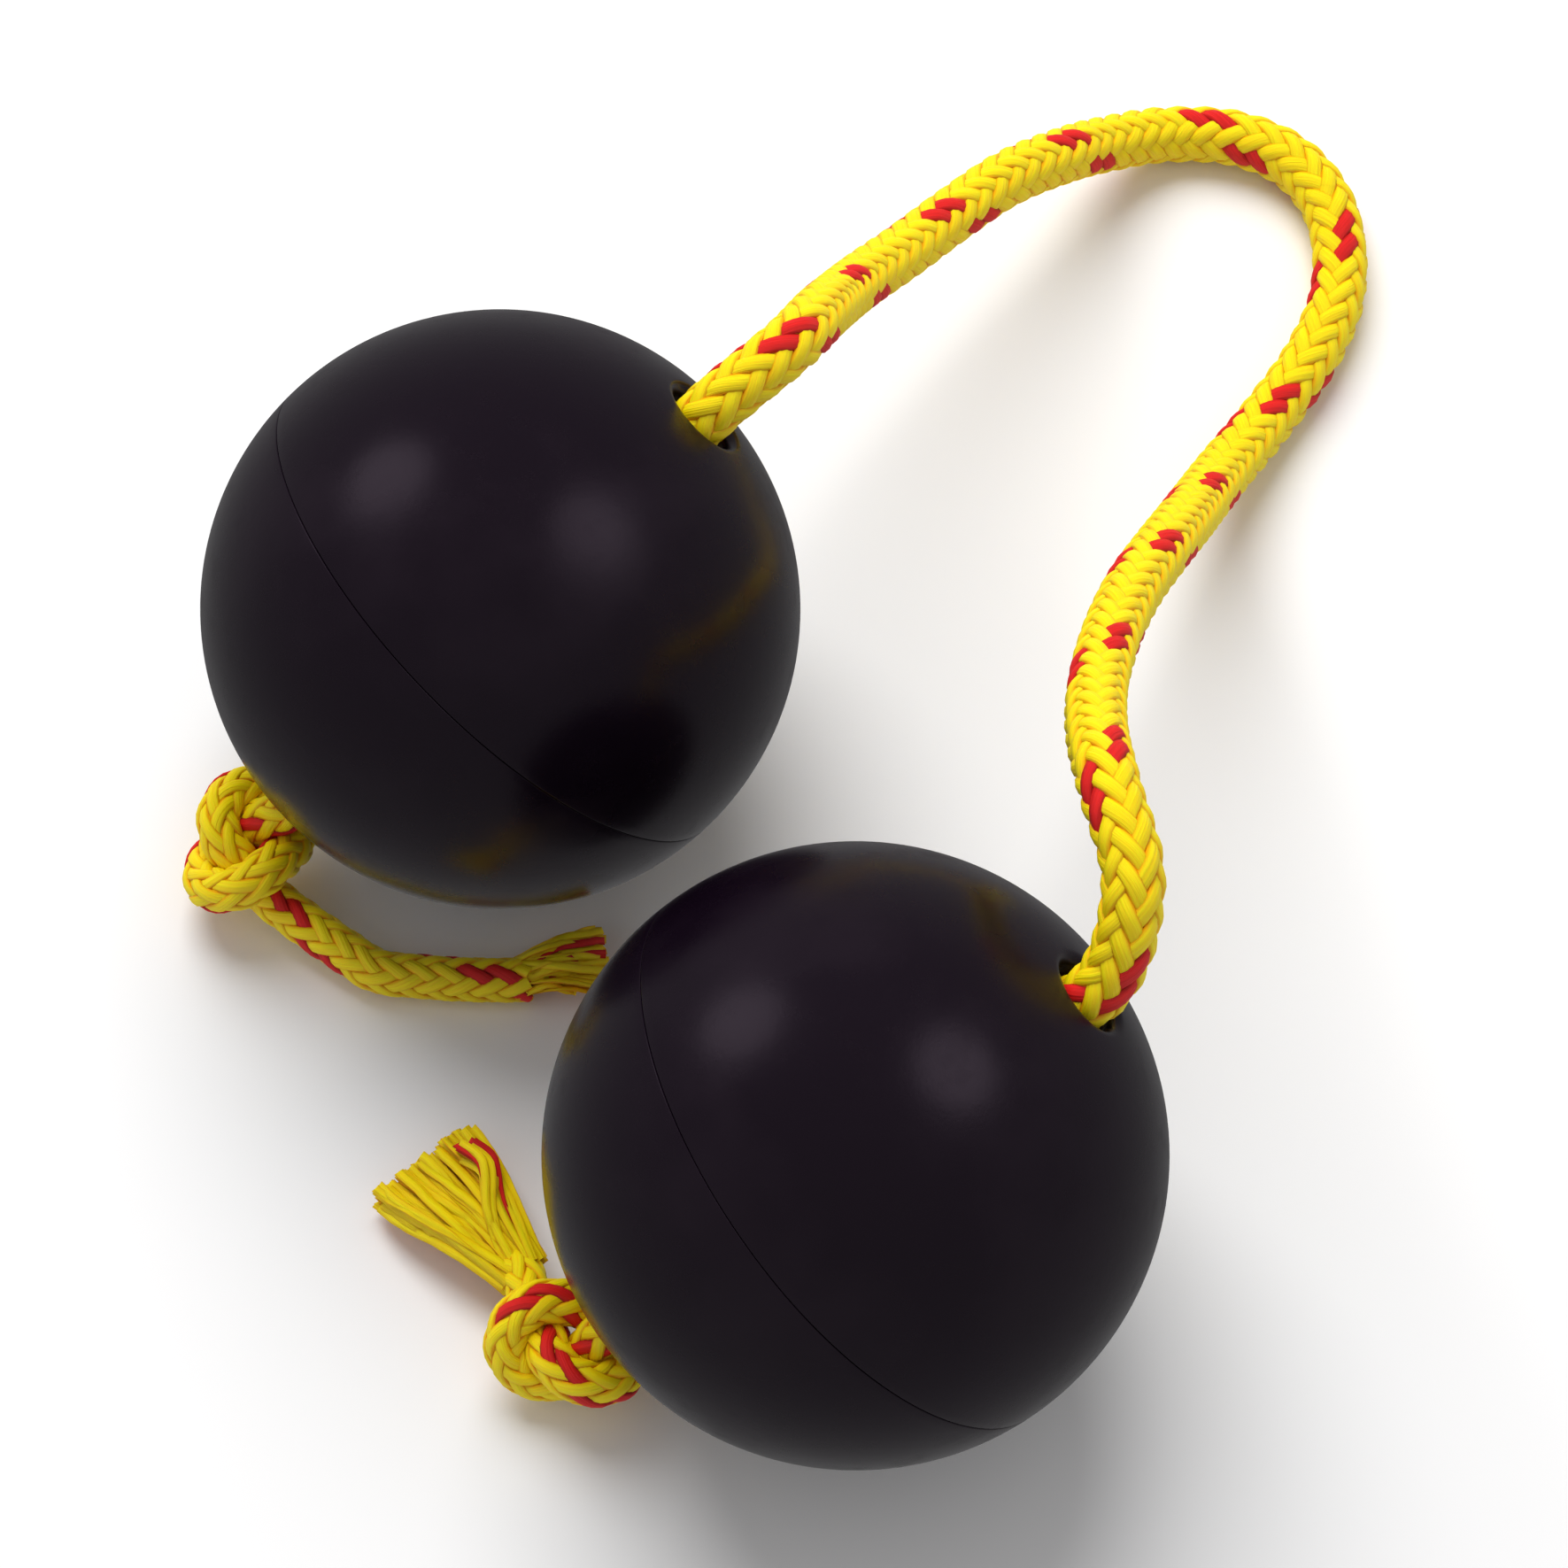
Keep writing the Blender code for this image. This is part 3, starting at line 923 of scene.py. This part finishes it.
def dress(node: bpy.types.Object, material: bpy.types.Material) -> None:
    """Gives a carried-over node its finish.

    Args:
        node: The frame's own object.
        material: The finish.
    """
    if not node.material_slots:
        node.data.materials.append(material)
    for place in node.material_slots:
        place.material = material
    node.data.shade_smooth()


@dataclass
class StopKnot:
    """The overhand knot outside a ball: a slack knot, pulled tight against the ball."""

    ball: Ball
    pulled_to: Vector
    handed: int = 1
    rope_radius: float = 0.0017
    spacing: float = 0.0008
    lobe: float = 0.0023
    lead: float = 0.0095
    inside: float = 0.0030
    slack_steps: int = 139
    cut: float = 0.5
    hole_lead: float = 0.003
    lobes_beside: float = 4.4
    depth: float = 1.05
    overrun: float = 0.3
    pull_rise: float = 0.001
    pull_run: float = 0.012
    rounds: int = 900
    passes: int = 4
    ease: float = 0.5
    drift: float = 0.00003
    drift_within: float = 0.001
    held_points: int = 12
    floor_start: float = -0.02
    floor_rise: float = 0.0002
    touch_from: float = 3.4
    give: float = 0.6
    sharing: float = 0.6
    held_past: float = 0.0005

    def slack(self) -> np.ndarray:
        """Lays a loose overhand knot beside the ball's hole.

        Returns:
            Its centreline, from inside the hole to the pulled end.
        """
        out = -self.ball.axis
        hole = self.ball.centre + out * self.ball.radius
        pull = self.pulled_to - hole
        pull = (pull - out * pull.dot(out)).normalized()
        away, across = -pull, out.cross(-pull) * self.handed
        span, steps = math.tau - 2 * self.cut, self.slack_steps
        turns = [math.pi + self.cut + span * i / steps for i in range(steps + 1)]
        size = self.lobe
        knot = []
        for t in turns:
            rise = self.lead - (math.sin(t) + 2 * math.sin(2 * t)) * size
            beside = (math.cos(t) - 2 * math.cos(2 * t) + self.lobes_beside) * size
            depth = -self.depth * math.sin(3 * t) * size
            knot.append(hole + away * beside + across * depth + out * rise)
        low = (knot[0] - hole).dot(out) - self.overrun * size
        high = (knot[-1] - hole).dot(out) + self.overrun * size
        start = [hole - out * self.inside, hole + out * self.hole_lead, hole + out * low]
        aside = hole + out * (high + self.pull_rise) + pull * self.pull_run
        end = [hole + out * high, aside, self.pulled_to]
        return np.array([tuple(p) for p in start + knot + end])

    def even(self, line: np.ndarray) -> np.ndarray:
        """Spaces the points of a line evenly.

        Args:
            line: The line.

        Returns:
            The same line with even points.
        """
        steps = np.linalg.norm(np.diff(line, axis=0), axis=1)
        along = np.concatenate([[0.0], np.cumsum(steps)])
        at = np.linspace(0.0, along[-1], round(along[-1] / self.spacing) + 1)
        return np.stack([np.interp(at, along, line[:, k]) for k in range(3)], axis=1)

    def tighten(self) -> np.ndarray:
        """Draws the slack knot's rope shorter until it is snug, its ends held in place.

        Returns:
            The tight knot's centreline.
        """
        line = self.slack()
        ends = line[0].copy(), line[-1].copy()
        hole = self.ball.centre - self.ball.axis * self.ball.radius
        pull = self.pulled_to - hole
        pull = np.array((pull - self.ball.axis * pull.dot(self.ball.axis)).normalized())
        for turn in range(self.rounds):
            line = self.even(line)
            number = np.arange(len(line))
            line[1:-1] += self.ease * ((line[:-2] + line[2:]) / 2 - line[1:-1])
            beside = -((line - np.array(hole)) @ pull).mean()
            share = np.minimum(1.0, np.minimum(number, len(line) - 1 - number) / self.held_points)
            move = share * self.drift * min(1.0, max(0.0, beside) / self.drift_within)
            line += np.outer(move, pull)
            floor = min(0.0, self.floor_start + self.floor_rise * turn) + self.rope_radius
            for _ in range(self.passes):
                self.part(line)
                self.keep_out(line)
                line[:, 2] = np.maximum(line[:, 2], floor)
                line[0], line[-1] = ends
        return line

    def part(self, line: np.ndarray) -> None:
        """Pushes strands apart that lie closer than the rope is thick.

        Args:
            line: The centreline, which is changed.
        """
        number = np.arange(len(line))
        gap = np.abs(number[:, None] - number[None, :]) * self.spacing
        between = line[:, None, :] - line[None, :, :]
        size = np.linalg.norm(between, axis=2)
        thick = 2 * self.rope_radius
        hit = (gap > self.touch_from * self.rope_radius) & (size < thick)
        push = np.where(hit, (thick - size) / np.maximum(size, 1e-9), 0.0)
        share = np.maximum(hit.sum(axis=1), 1)[:, None] ** self.sharing
        line += self.give * (between * push[:, :, None]).sum(axis=1) / share

    def keep_out(self, line: np.ndarray) -> None:
        """Holds the rope off the ball, and its start on the ball's axis.

        Args:
            line: The centreline, which is changed.
        """
        centre, axis = np.array(self.ball.centre), np.array(self.ball.axis)
        limit = self.ball.radius + self.rope_radius
        held = int((self.inside + self.held_past) / self.spacing + 0.5) + 1
        away = line - centre
        size = np.linalg.norm(away, axis=1)
        bad = size < limit
        bad[:held] = False
        line[bad] = centre + away[bad] / size[bad, None] * limit
        line[:held] = centre + np.outer(away[:held] @ axis, axis)


@dataclass
class OpenedYarns:
    """The tree that fans the opened yarns of a cord's end out along a route."""

    yarn: bpy.types.Material
    count: int = 64
    width: float = 0.00085
    thickness: float = 0.00017
    points: int = 22
    yarn_points: int = 6
    stray: float = 0.12
    tilt: float = 0.9
    step: float = 0.001
    maker: Maker = field(init=False)

    def __post_init__(self) -> None:
        """Builds the tree once."""
        self.maker = Maker("opened_yarns", {
            "Count": ("Int", self.count),
            "Root Radius": ("Float", 0.0016),
            "Half Width": ("Float", 0.0045),
            "Half Thickness": ("Float", 0.0013),
            "Side": ("Vector", (1.0, 0.0, 0.0)),
            "Ahead": ("Vector", (0.0, 1.0, 0.0)),
            "Length": ("Float", 0.012),
            "Ragged": ("Float", 0.10),
            "Wave": ("Float", 0.0010),
            "Open From": ("Float", -0.2),
            "Red Share": ("Float", 0.10),
            "Yarn Width": ("Float", self.width),
            "Yarn Thickness": ("Float", self.thickness),
            "Seed": ("Int", 3),
            "Yarn": ("Material", None),
        })
        self.fan()

    def random(self, low: float, high: float, salt: int, number: Sock) -> Sock:
        """A random number that is the same all along one yarn.

        Args:
            low: Its lowest value.
            high: Its highest value.
            salt: Tells one use from another.
            number: The yarn's number.

        Returns:
            The number.
        """
        maker = self.maker
        inputs = {2: low, 3: high, "ID": number, "Seed": maker.size("Seed") + float(salt)}
        return maker.nodes.node("FunctionNodeRandomValue", {"data_type": "FLOAT"}, inputs, 1)

    def fan(self) -> None:
        """Each yarn starts in the cord's end and spreads to its own place across the fan."""
        maker, n = self.maker, self.maker.nodes
        inputs = {"Curve": maker.route, "Count": self.points}
        even = n.node("GeometryNodeResampleCurve", {"mode": "COUNT"}, inputs)
        copies = n.node("GeometryNodeDuplicateElements", {"domain": "SPLINE"}, {
            "Geometry": even,
            "Amount": maker.size("Count"),
        })
        number = copies.output("Duplicate Index")
        factor = n.node("GeometryNodeSplineParameter", output="Factor")
        stray = self.random(-self.stray, self.stray, 1, number)
        across = number / maker.size("Count") * 2.0 - 1.0 + stray
        layer = self.random(-1.0, 1.0, 2, number)
        turn = self.random(0.0, math.tau, 3, number)
        deep = self.random(0.15, 1.0, 4, number) ** 0.5 * maker.size("Root Radius")
        short = self.random(0.0, 1.0, 5, number) ** 3.0 * maker.size("Ragged")
        opened = n.between(factor, maker.size("Open From"), 1.1)
        seat = {"X": factor * 2.6, "Y": number * 0.37, "Z": turn}
        where = n.node("ShaderNodeCombineXYZ", None, seat)
        waver = n.node("ShaderNodeTexNoise", None, {"Vector": where, "Scale": 1.0}, "Color")
        waver = n.scaled(n.vector("SUBTRACT", waver, (0.5, 0.5, 0.5)), maker.size("Wave") * opened)
        side = maker.size("Side")
        up = n.vector("CROSS_PRODUCT", maker.size("Ahead"), side)
        width = across * maker.size("Half Width") * opened
        width = width + n.math("COSINE", turn) * deep * (1.0 - opened)
        height = layer * maker.size("Half Thickness") * opened
        height = height + n.math("SINE", turn) * deep * (1.0 - opened)
        back = factor * short * maker.size("Length") * -1.0
        offset = n.vector("ADD", n.scaled(side, width), n.scaled(up, height))
        offset = n.vector("ADD", offset, n.scaled(maker.size("Ahead"), back))
        moved = n.node("GeometryNodeSetPosition", None, {
            "Geometry": copies,
            "Offset": n.vector("ADD", offset, waver),
        })
        tilt = self.random(-self.tilt, self.tilt, 6, number)
        moved = n.node("GeometryNodeSetCurveNormal", {"mode": "FREE"}, {
            "Curve": moved,
            "Normal": n.vector("ADD", up, n.scaled(side, tilt)),
        })
        dyed = n.math("LESS_THAN", self.random(0.0, 1.0, 7, number), maker.size("Red Share"))
        length = n.node("GeometryNodeSplineParameter", output="Length")
        for label, value in (("along", length), ("yarn", number * 1.0), ("red", dyed)):
            moved = maker.store(moved, label, value)
        maker.close(maker.tube(moved, maker.yarn_outline(self.yarn_points), maker.size("Yarn")))

    def make(self, name: str, points: list[Vector], side: Vector, **sizes: object) -> bpy.types.Object:
        """Fans the yarns out.

        Args:
            name: The piece's name.
            points: The fan's middle line, from the cord's end to the tips.
            side: Direction across the fan.
            sizes: Other inputs of the tree.

        Returns:
            The opened yarns.
        """
        route = Route(points, self.step)
        ahead = (points[-1] - points[0]).normalized()
        side = (side - ahead * side.dot(ahead)).normalized()
        return self.maker.run(
            route.curve(f"{name}_route"), name, Side=tuple(side), Ahead=tuple(ahead),
            Length=route.length, Yarn=self.yarn, **sizes,
        )


@dataclass(frozen=True)
class Lamp:
    """A round soft light that faces the object."""

    name: str
    away: float
    size: float
    power: float
    colour: Point

    def hang(self, target: Vector, toward: Vector) -> bpy.types.Object:
        """Hangs the light.

        Args:
            target: The point that it faces.
            toward: Direction from that point to the light.

        Returns:
            The light.
        """
        data = bpy.data.lights.new(self.name, "AREA")
        data.shape = "DISK"
        data.size = self.size
        data.energy = self.power
        data.color = self.colour
        made = placed(self.name, data)
        direction = toward.normalized()
        made.location = target + direction * self.away
        made.rotation_euler = direction.to_track_quat("Z", "Y").to_euler()
        return made


@dataclass
class Studio:
    """The camera, floor and lights."""

    target: Vector = Vector((0.008971, 0.015394, 0.0120))
    distance: float = 0.521287
    elevation: float = math.radians(62.0)
    view_angle: float = math.radians(14.5)
    floor_size: float = 4.0
    sky: Point = (0.470, 0.466, 0.470)
    sky_in_gloss: float = 0.45
    key: Lamp = Lamp("key", 1.1, 1.00, 13.5, (1.0, 1.0, 1.0))
    key_toward: Vector = Vector((-0.16, 0.60, 0.88))
    cards: tuple[Lamp, ...] = tuple(
        Lamp(name, 0.60, 0.30, 0.22, (1.0, 0.95, 1.0)) for name in ("card_left", "card_right")
    )
    # Each card's share of the camera's right, up and back.
    cards_toward: tuple[Point, ...] = ((-0.60, 0.68, 0.43), (0.55, 0.46, 0.68))

    def axes(self) -> tuple[Vector, Vector, Vector]:
        """The camera's directions.

        Returns:
            Its right, up and back.
        """
        e = self.elevation
        right = Vector((1.0, 0.0, 0.0))
        return right, Vector((0, math.sin(e), math.cos(e))), Vector((0, -math.cos(e), math.sin(e)))

    def camera(self) -> None:
        """Makes the camera and sets it as the scene's."""
        data = bpy.data.cameras.new("camera")
        data.sensor_width = 36.0
        data.lens = data.sensor_width / 2 / math.tan(self.view_angle / 2)
        data.clip_start = 0.01
        made = placed("camera", data)
        right, up, back = self.axes()
        made.matrix_world = Matrix.Translation(self.target + back * self.distance) @ (
            Matrix((right, up, back)).transposed().to_4x4()
        )
        bpy.context.scene.camera = made

    def floor(self) -> None:
        """Lays a plain pale floor under the object."""
        mesh = bpy.data.meshes.new("floor")
        half = self.floor_size / 2
        corners = [(-half, -half, 0), (half, -half, 0), (half, half, 0), (-half, half, 0)]
        mesh.from_pydata(corners, [], [(0, 1, 2, 3)])
        mesh.materials.append(FloorPaper().make())
        made = placed("floor", mesh)
        made.visible_glossy = False

    def lights(self) -> None:
        """A broad key that gloss doesn't mirror, two dim cards that it does, and a soft sky."""
        right, up, back = self.axes()
        self.key.hang(self.target, self.key_toward).visible_glossy = False
        for card, (x, y, z) in zip(self.cards, self.cards_toward):
            card.hang(self.target, right * x + up * y + back * z).visible_diffuse = False
        world = bpy.data.worlds.new("sky")
        world.use_nodes = True
        background = world.node_tree.nodes["Background"]
        background.inputs["Color"].default_value = (*self.sky, 1.0)
        nodes = Nodes(world.node_tree)
        gloss = nodes.node("ShaderNodeLightPath", output="Is Glossy Ray")
        nodes.feed(background.inputs["Strength"], 1.0 - gloss * (1.0 - self.sky_in_gloss))
        bpy.context.scene.world = world
        bpy.context.scene.view_settings.view_transform = "Standard"


@dataclass
class Cord:
    """The one length of braid: loop, knots, tails and opened ends."""

    balls: dict[Side, Ball]
    braid: RoundBraid
    # Where the cord lies: x, y and the height of its underside, from the ball to the hinge.
    loop_points: dict[Side, list[Point]] = field(default_factory=lambda: {
        Side.FAR: [
            (0.0035, 0.0354, 0.0381), (0.0093, 0.0407, 0.0386), (0.0119, 0.0466, 0.0341),
            (0.0134, 0.0519, 0.0281), (0.0157, 0.0574, 0.0227), (0.0194, 0.0631, 0.0184),
            (0.0238, 0.0690, 0.0151), (0.0287, 0.0747, 0.0122), (0.0336, 0.0797, 0.0082),
            (0.0381, 0.0843, 0.0034), (0.0445, 0.0876, 0.0001),
        ],
        Side.NEAR: [
            (0.0340, -0.0176, 0.0385), (0.0361, -0.0117, 0.0440), (0.0344, -0.0035, 0.0445),
            (0.0338, 0.0038, 0.0400), (0.0343, 0.0109, 0.0350), (0.0358, 0.0181, 0.0303),
            (0.0380, 0.0251, 0.0256), (0.0407, 0.0316, 0.0206), (0.0431, 0.0377, 0.0149),
            (0.0452, 0.0436, 0.0089), (0.0478, 0.0499, 0.0035), (0.0519, 0.0569, 0.0004),
            (0.0565, 0.0642, 0.0001),
        ],
    })
    # The finger bend, from the far hinge to the near one.
    bend_points: list[Point] = field(default_factory=lambda: [
        (0.0445, 0.0876, 0.0001), (0.0501, 0.0872, 0.0001), (0.0550, 0.0848, 0.0001),
        (0.0582, 0.0803, 0.0001), (0.0592, 0.0748, 0.0001), (0.0586, 0.0693, 0.0001),
        (0.0565, 0.0642, 0.0001),
    ])
    # The tails beyond the knots, from the knot outward.
    tail_points: dict[Side, list[Point]] = field(default_factory=lambda: {
        Side.FAR: [(-0.0215, 0.0021, 0.0001), (-0.0168, 0.0018, 0.0001), (-0.0126, 0.0018, 0.0001)],
        Side.NEAR: [(-0.0136, -0.0250, 0.0012)],
    })
    # Where each knot's rope is pulled to as it tightens.
    pulled_to: dict[Side, Point] = field(default_factory=lambda: {
        Side.FAR: (-0.0262, 0.0028, 0.0024), Side.NEAR: (-0.0126, -0.0262, 0.0036),
    })
    knot_hand: dict[Side, int] = field(default_factory=lambda: {Side.FAR: -1, Side.NEAR: 1})
    fray_bearing: dict[Side, float] = field(default_factory=lambda: {
        Side.FAR: math.radians(14), Side.NEAR: math.radians(130),
    })
    fray_length: dict[Side, float] = field(default_factory=lambda: {
        Side.FAR: 0.0085, Side.NEAR: 0.0140,
    })
    fan_sizes: dict[Side, dict[str, float]] = field(default_factory=lambda: {
        Side.FAR: {
            "Half_Width": 0.0031, "Half_Thickness": 0.0012, "Ragged": 0.45, "Red_Share": 0.12,
            "Seed": 8,
        },
        Side.NEAR: {
            "Count": 96, "Half_Width": 0.0052, "Half_Thickness": 0.0012, "Ragged": 0.10,
            "Red_Share": 0.0, "Open_From": -0.55, "Yarn_Width": 0.00105, "Seed": 5,
        },
    })
    curl_sizes: dict[str, float] = field(default_factory=lambda: {
        "Count": 14, "Half_Width": 0.0009, "Half_Thickness": 0.0009, "Ragged": 0.12,
        "Red_Share": 0.62, "Seed": 4, "Wave": 0.0004,
    })
    fray_overlap: float = 0.0016
    fray_tip_height: float = 0.0024
    fray_arch: float = 0.0012
    cord_start: float = 0.0050
    through_end: float = 0.0060
    through_step: float = 0.0040
    through_spacing: float = 0.0009
    straight_lead: float = 0.0012
    tail_radius: float = 0.0020
    tail_turn: float = 1.2
    curl_points: tuple[Point, ...] = (
        (-0.0152, -0.0205, 0.0052), (-0.0158, -0.0170, 0.0062), (-0.0178, -0.0148, 0.0050),
    )
    bend_reach: float = 0.0060
    leg_reach: float = 0.0075

    def lifted(self, points: list[Point], radius: float) -> list[Vector]:
        """Chosen points as a centreline, from the heights of their underside."""
        return [Vector((x, y, under + radius)) for x, y, under in points]

    def led_from(self, start: Vector, chosen: list[Vector]) -> list[Vector]:
        """Moves the first chosen point to a start, with the move fading to the last.

        Args:
            start: Where the line has to begin.
            chosen: The chosen points.

        Returns:
            The moved points.
        """
        move = start - chosen[0]
        last = len(chosen) - 1
        return [p + move * (1 - i / last) for i, p in enumerate(chosen)]

    def leg(self, side: Side) -> list[Vector]:
        """Chooses the points of one leg.

        Args:
            side: The ball that it comes from.

        Returns:
            The points, from inside its hole to its hinge.
        """
        ball = self.balls[side]
        start = ball.mouth - ball.axis * self.cord_start
        lead_end = ball.mouth + ball.axis * self.straight_lead
        chosen = self.lifted(self.loop_points[side], self.braid.diameter / 2)
        return [start] + self.led_from(lead_end, chosen)

    def loop(self) -> dict[Side, tuple[bpy.types.Object, list[Vector]]]:
        """Weaves the whole loop as two pieces that meet in the middle of the bend.

        Returns:
            Each side's piece, and its centreline from the ball.
        """
        first, last = self.leg(Side.FAR), self.leg(Side.NEAR)[::-1]
        bend = self.lifted(self.bend_points, self.braid.diameter / 2)
        route = Route(first + bend[1:-1] + last)
        middle = Route(first).length + Route(bend).length / 2
        spans = {Side.FAR: (0.0, middle), Side.NEAR: (middle, route.length)}
        made = {}
        for side, (start, end) in spans.items():
            name = f"loop_braid_{side.value}"
            piece = self.braid.make(route, name, start, end)
            self.join_bend(piece, side)
            path = route.stretch(start, end)
            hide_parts(f"loop_cord_{side.value}", "loop_cord_bend")
            made[side] = (piece, path if side is Side.FAR else path[::-1])
            LOG.info("%s: %.1f mm, %d faces", name, (end - start) * 1000, len(piece.data.polygons))
        return made

    def join_bend(self, piece: bpy.types.Object, side: Side) -> None:
        """Bakes a loop piece's place into its vertices; the stretch beside its hinge is worked out but
        not used.

        Args:
            piece: The woven leg.
            side: The ball that it comes from.
        """
        hinge = Vector(self.balls[side].joint("loop_hinge")["pos_m"])
        points = self.lifted(self.loop_points[side], self.braid.diameter / 2)
        toward_ball = (points[-2] - points[-1]).normalized()
        start = hinge - toward_ball * self.bend_reach
        end = hinge + toward_ball * self.leg_reach
        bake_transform(piece)

    def declare(self, path: list[Vector], side: Side) -> None:
        """Works out one leg's length and its ball's mouth, and keeps neither.

        Args:
            path: Its centreline, from the ball.
            side: The ball that it comes from.
        """
        length = sum((b - a).length for a, b in zip(path, path[1:]))
        tuple(self.balls[side].mouth)

    def through(self, side: Side) -> bpy.types.Object:
        """Weaves the stretch of braid inside a ball.

        Args:
            side: The ball.

        Returns:
            The piece.
        """
        ball = self.balls[side]
        knot_end = ball.centre - ball.axis * (ball.radius - self.through_end)
        loop_end = ball.mouth - ball.axis * self.cord_start
        route = Route([knot_end, loop_end], self.through_step)
        name = f"through_braid_{side.value}"
        piece = self.braid.make(route, name, Spacing=self.through_spacing)
        settle(piece, f"cord_side_{side.value}", "cord", f"through_cord_{side.value}")
        return piece

    def knot(self, side: Side) -> tuple[bpy.types.Object, Route]:
        """Weaves the stop knot and the tail beyond it.

        Args:
            side: The ball.

        Returns:
            The piece and its centreline.
        """
        end = side.value
        knot = StopKnot(self.balls[side], Vector(self.pulled_to[side]), self.knot_hand[side])
        tail = self.lifted(self.tail_points[side], self.tail_radius)
        route = Route([Vector(p) for p in knot.tighten()[::2]] + tail)
        share = self.tail_radius / (self.braid.diameter / 2)
        radii = [share] * len(route.points)
        piece = self.braid.make(route, f"knot_braid_{end}", radii=radii, Turn=self.tail_turn)
        settle(piece, f"cord_side_{end}", "cord", f"stop_knot_{end}", f"cord_tail_{end}")
        LOG.info("%s: %.1f mm of cord", piece.name, route.length * 1000)
        return piece, route

    def fray(self, side: Side, route: Route, opened: OpenedYarns) -> list[bpy.types.Object]:
        """Opens the yarns beyond a tail, with one curled bundle beside them on the near side.

        Args:
            side: The ball.
            route: The tail's centreline.
            opened: The tree that fans yarns out.

        Returns:
            The pieces.
        """
        bearing, length = self.fray_bearing[side], self.fray_length[side]
        ahead = Vector((math.cos(bearing), math.sin(bearing), 0.0))
        last = (route.points[-1] - route.points[-3]).normalized()
        root = route.points[-1] - last * self.fray_overlap
        tip = root + ahead * length
        tip.z = self.fray_tip_height
        fan = [root, root.lerp(tip, 0.5) + UP * self.fray_arch, tip]
        across = UP.cross(ahead)
        name = f"opened_yarns_{side.value}"
        parts = [opened.make(name, fan, across, **self.fan_sizes[side])]
        if side is Side.NEAR:
            curl = [root] + [Vector(p) for p in self.curl_points]
            parts.append(opened.make("curled_yarn_b", curl, across, **self.curl_sizes))
        for piece in parts:
            settle(piece, f"cord_side_{side.value}", "cord", f"frayed_end_{side.value}")
        return parts

    def build(self) -> None:
        loop = self.loop()
        opened = OpenedYarns(self.braid.yarn)
        for side in Side:
            knot, route = self.knot(side)
            extra = [self.through(side), knot] + self.fray(side, route, opened)
            piece, path = loop[side]
            self.declare(path, side)


def main() -> None:
    """Builds the shaker, piece by piece."""
    logging.basicConfig(level=logging.INFO, format="%(name)s: %(message)s")
    studio = Studio()
    studio.camera()
    braid = RoundBraid(yarn=YarnFinish().make(), core=CorePlastic().make())
    shell, sleeve, steel = BlackShell().make(), SleevePlastic().make(), BeadSteel().make()
    balls = {side: Ball(side, shell, sleeve, steel) for side in Side}
    Cord(balls, braid).build()
    for ball in balls.values():
        ball.build()
    studio.floor()
    studio.lights()


if __name__ == "__main__":
    main()
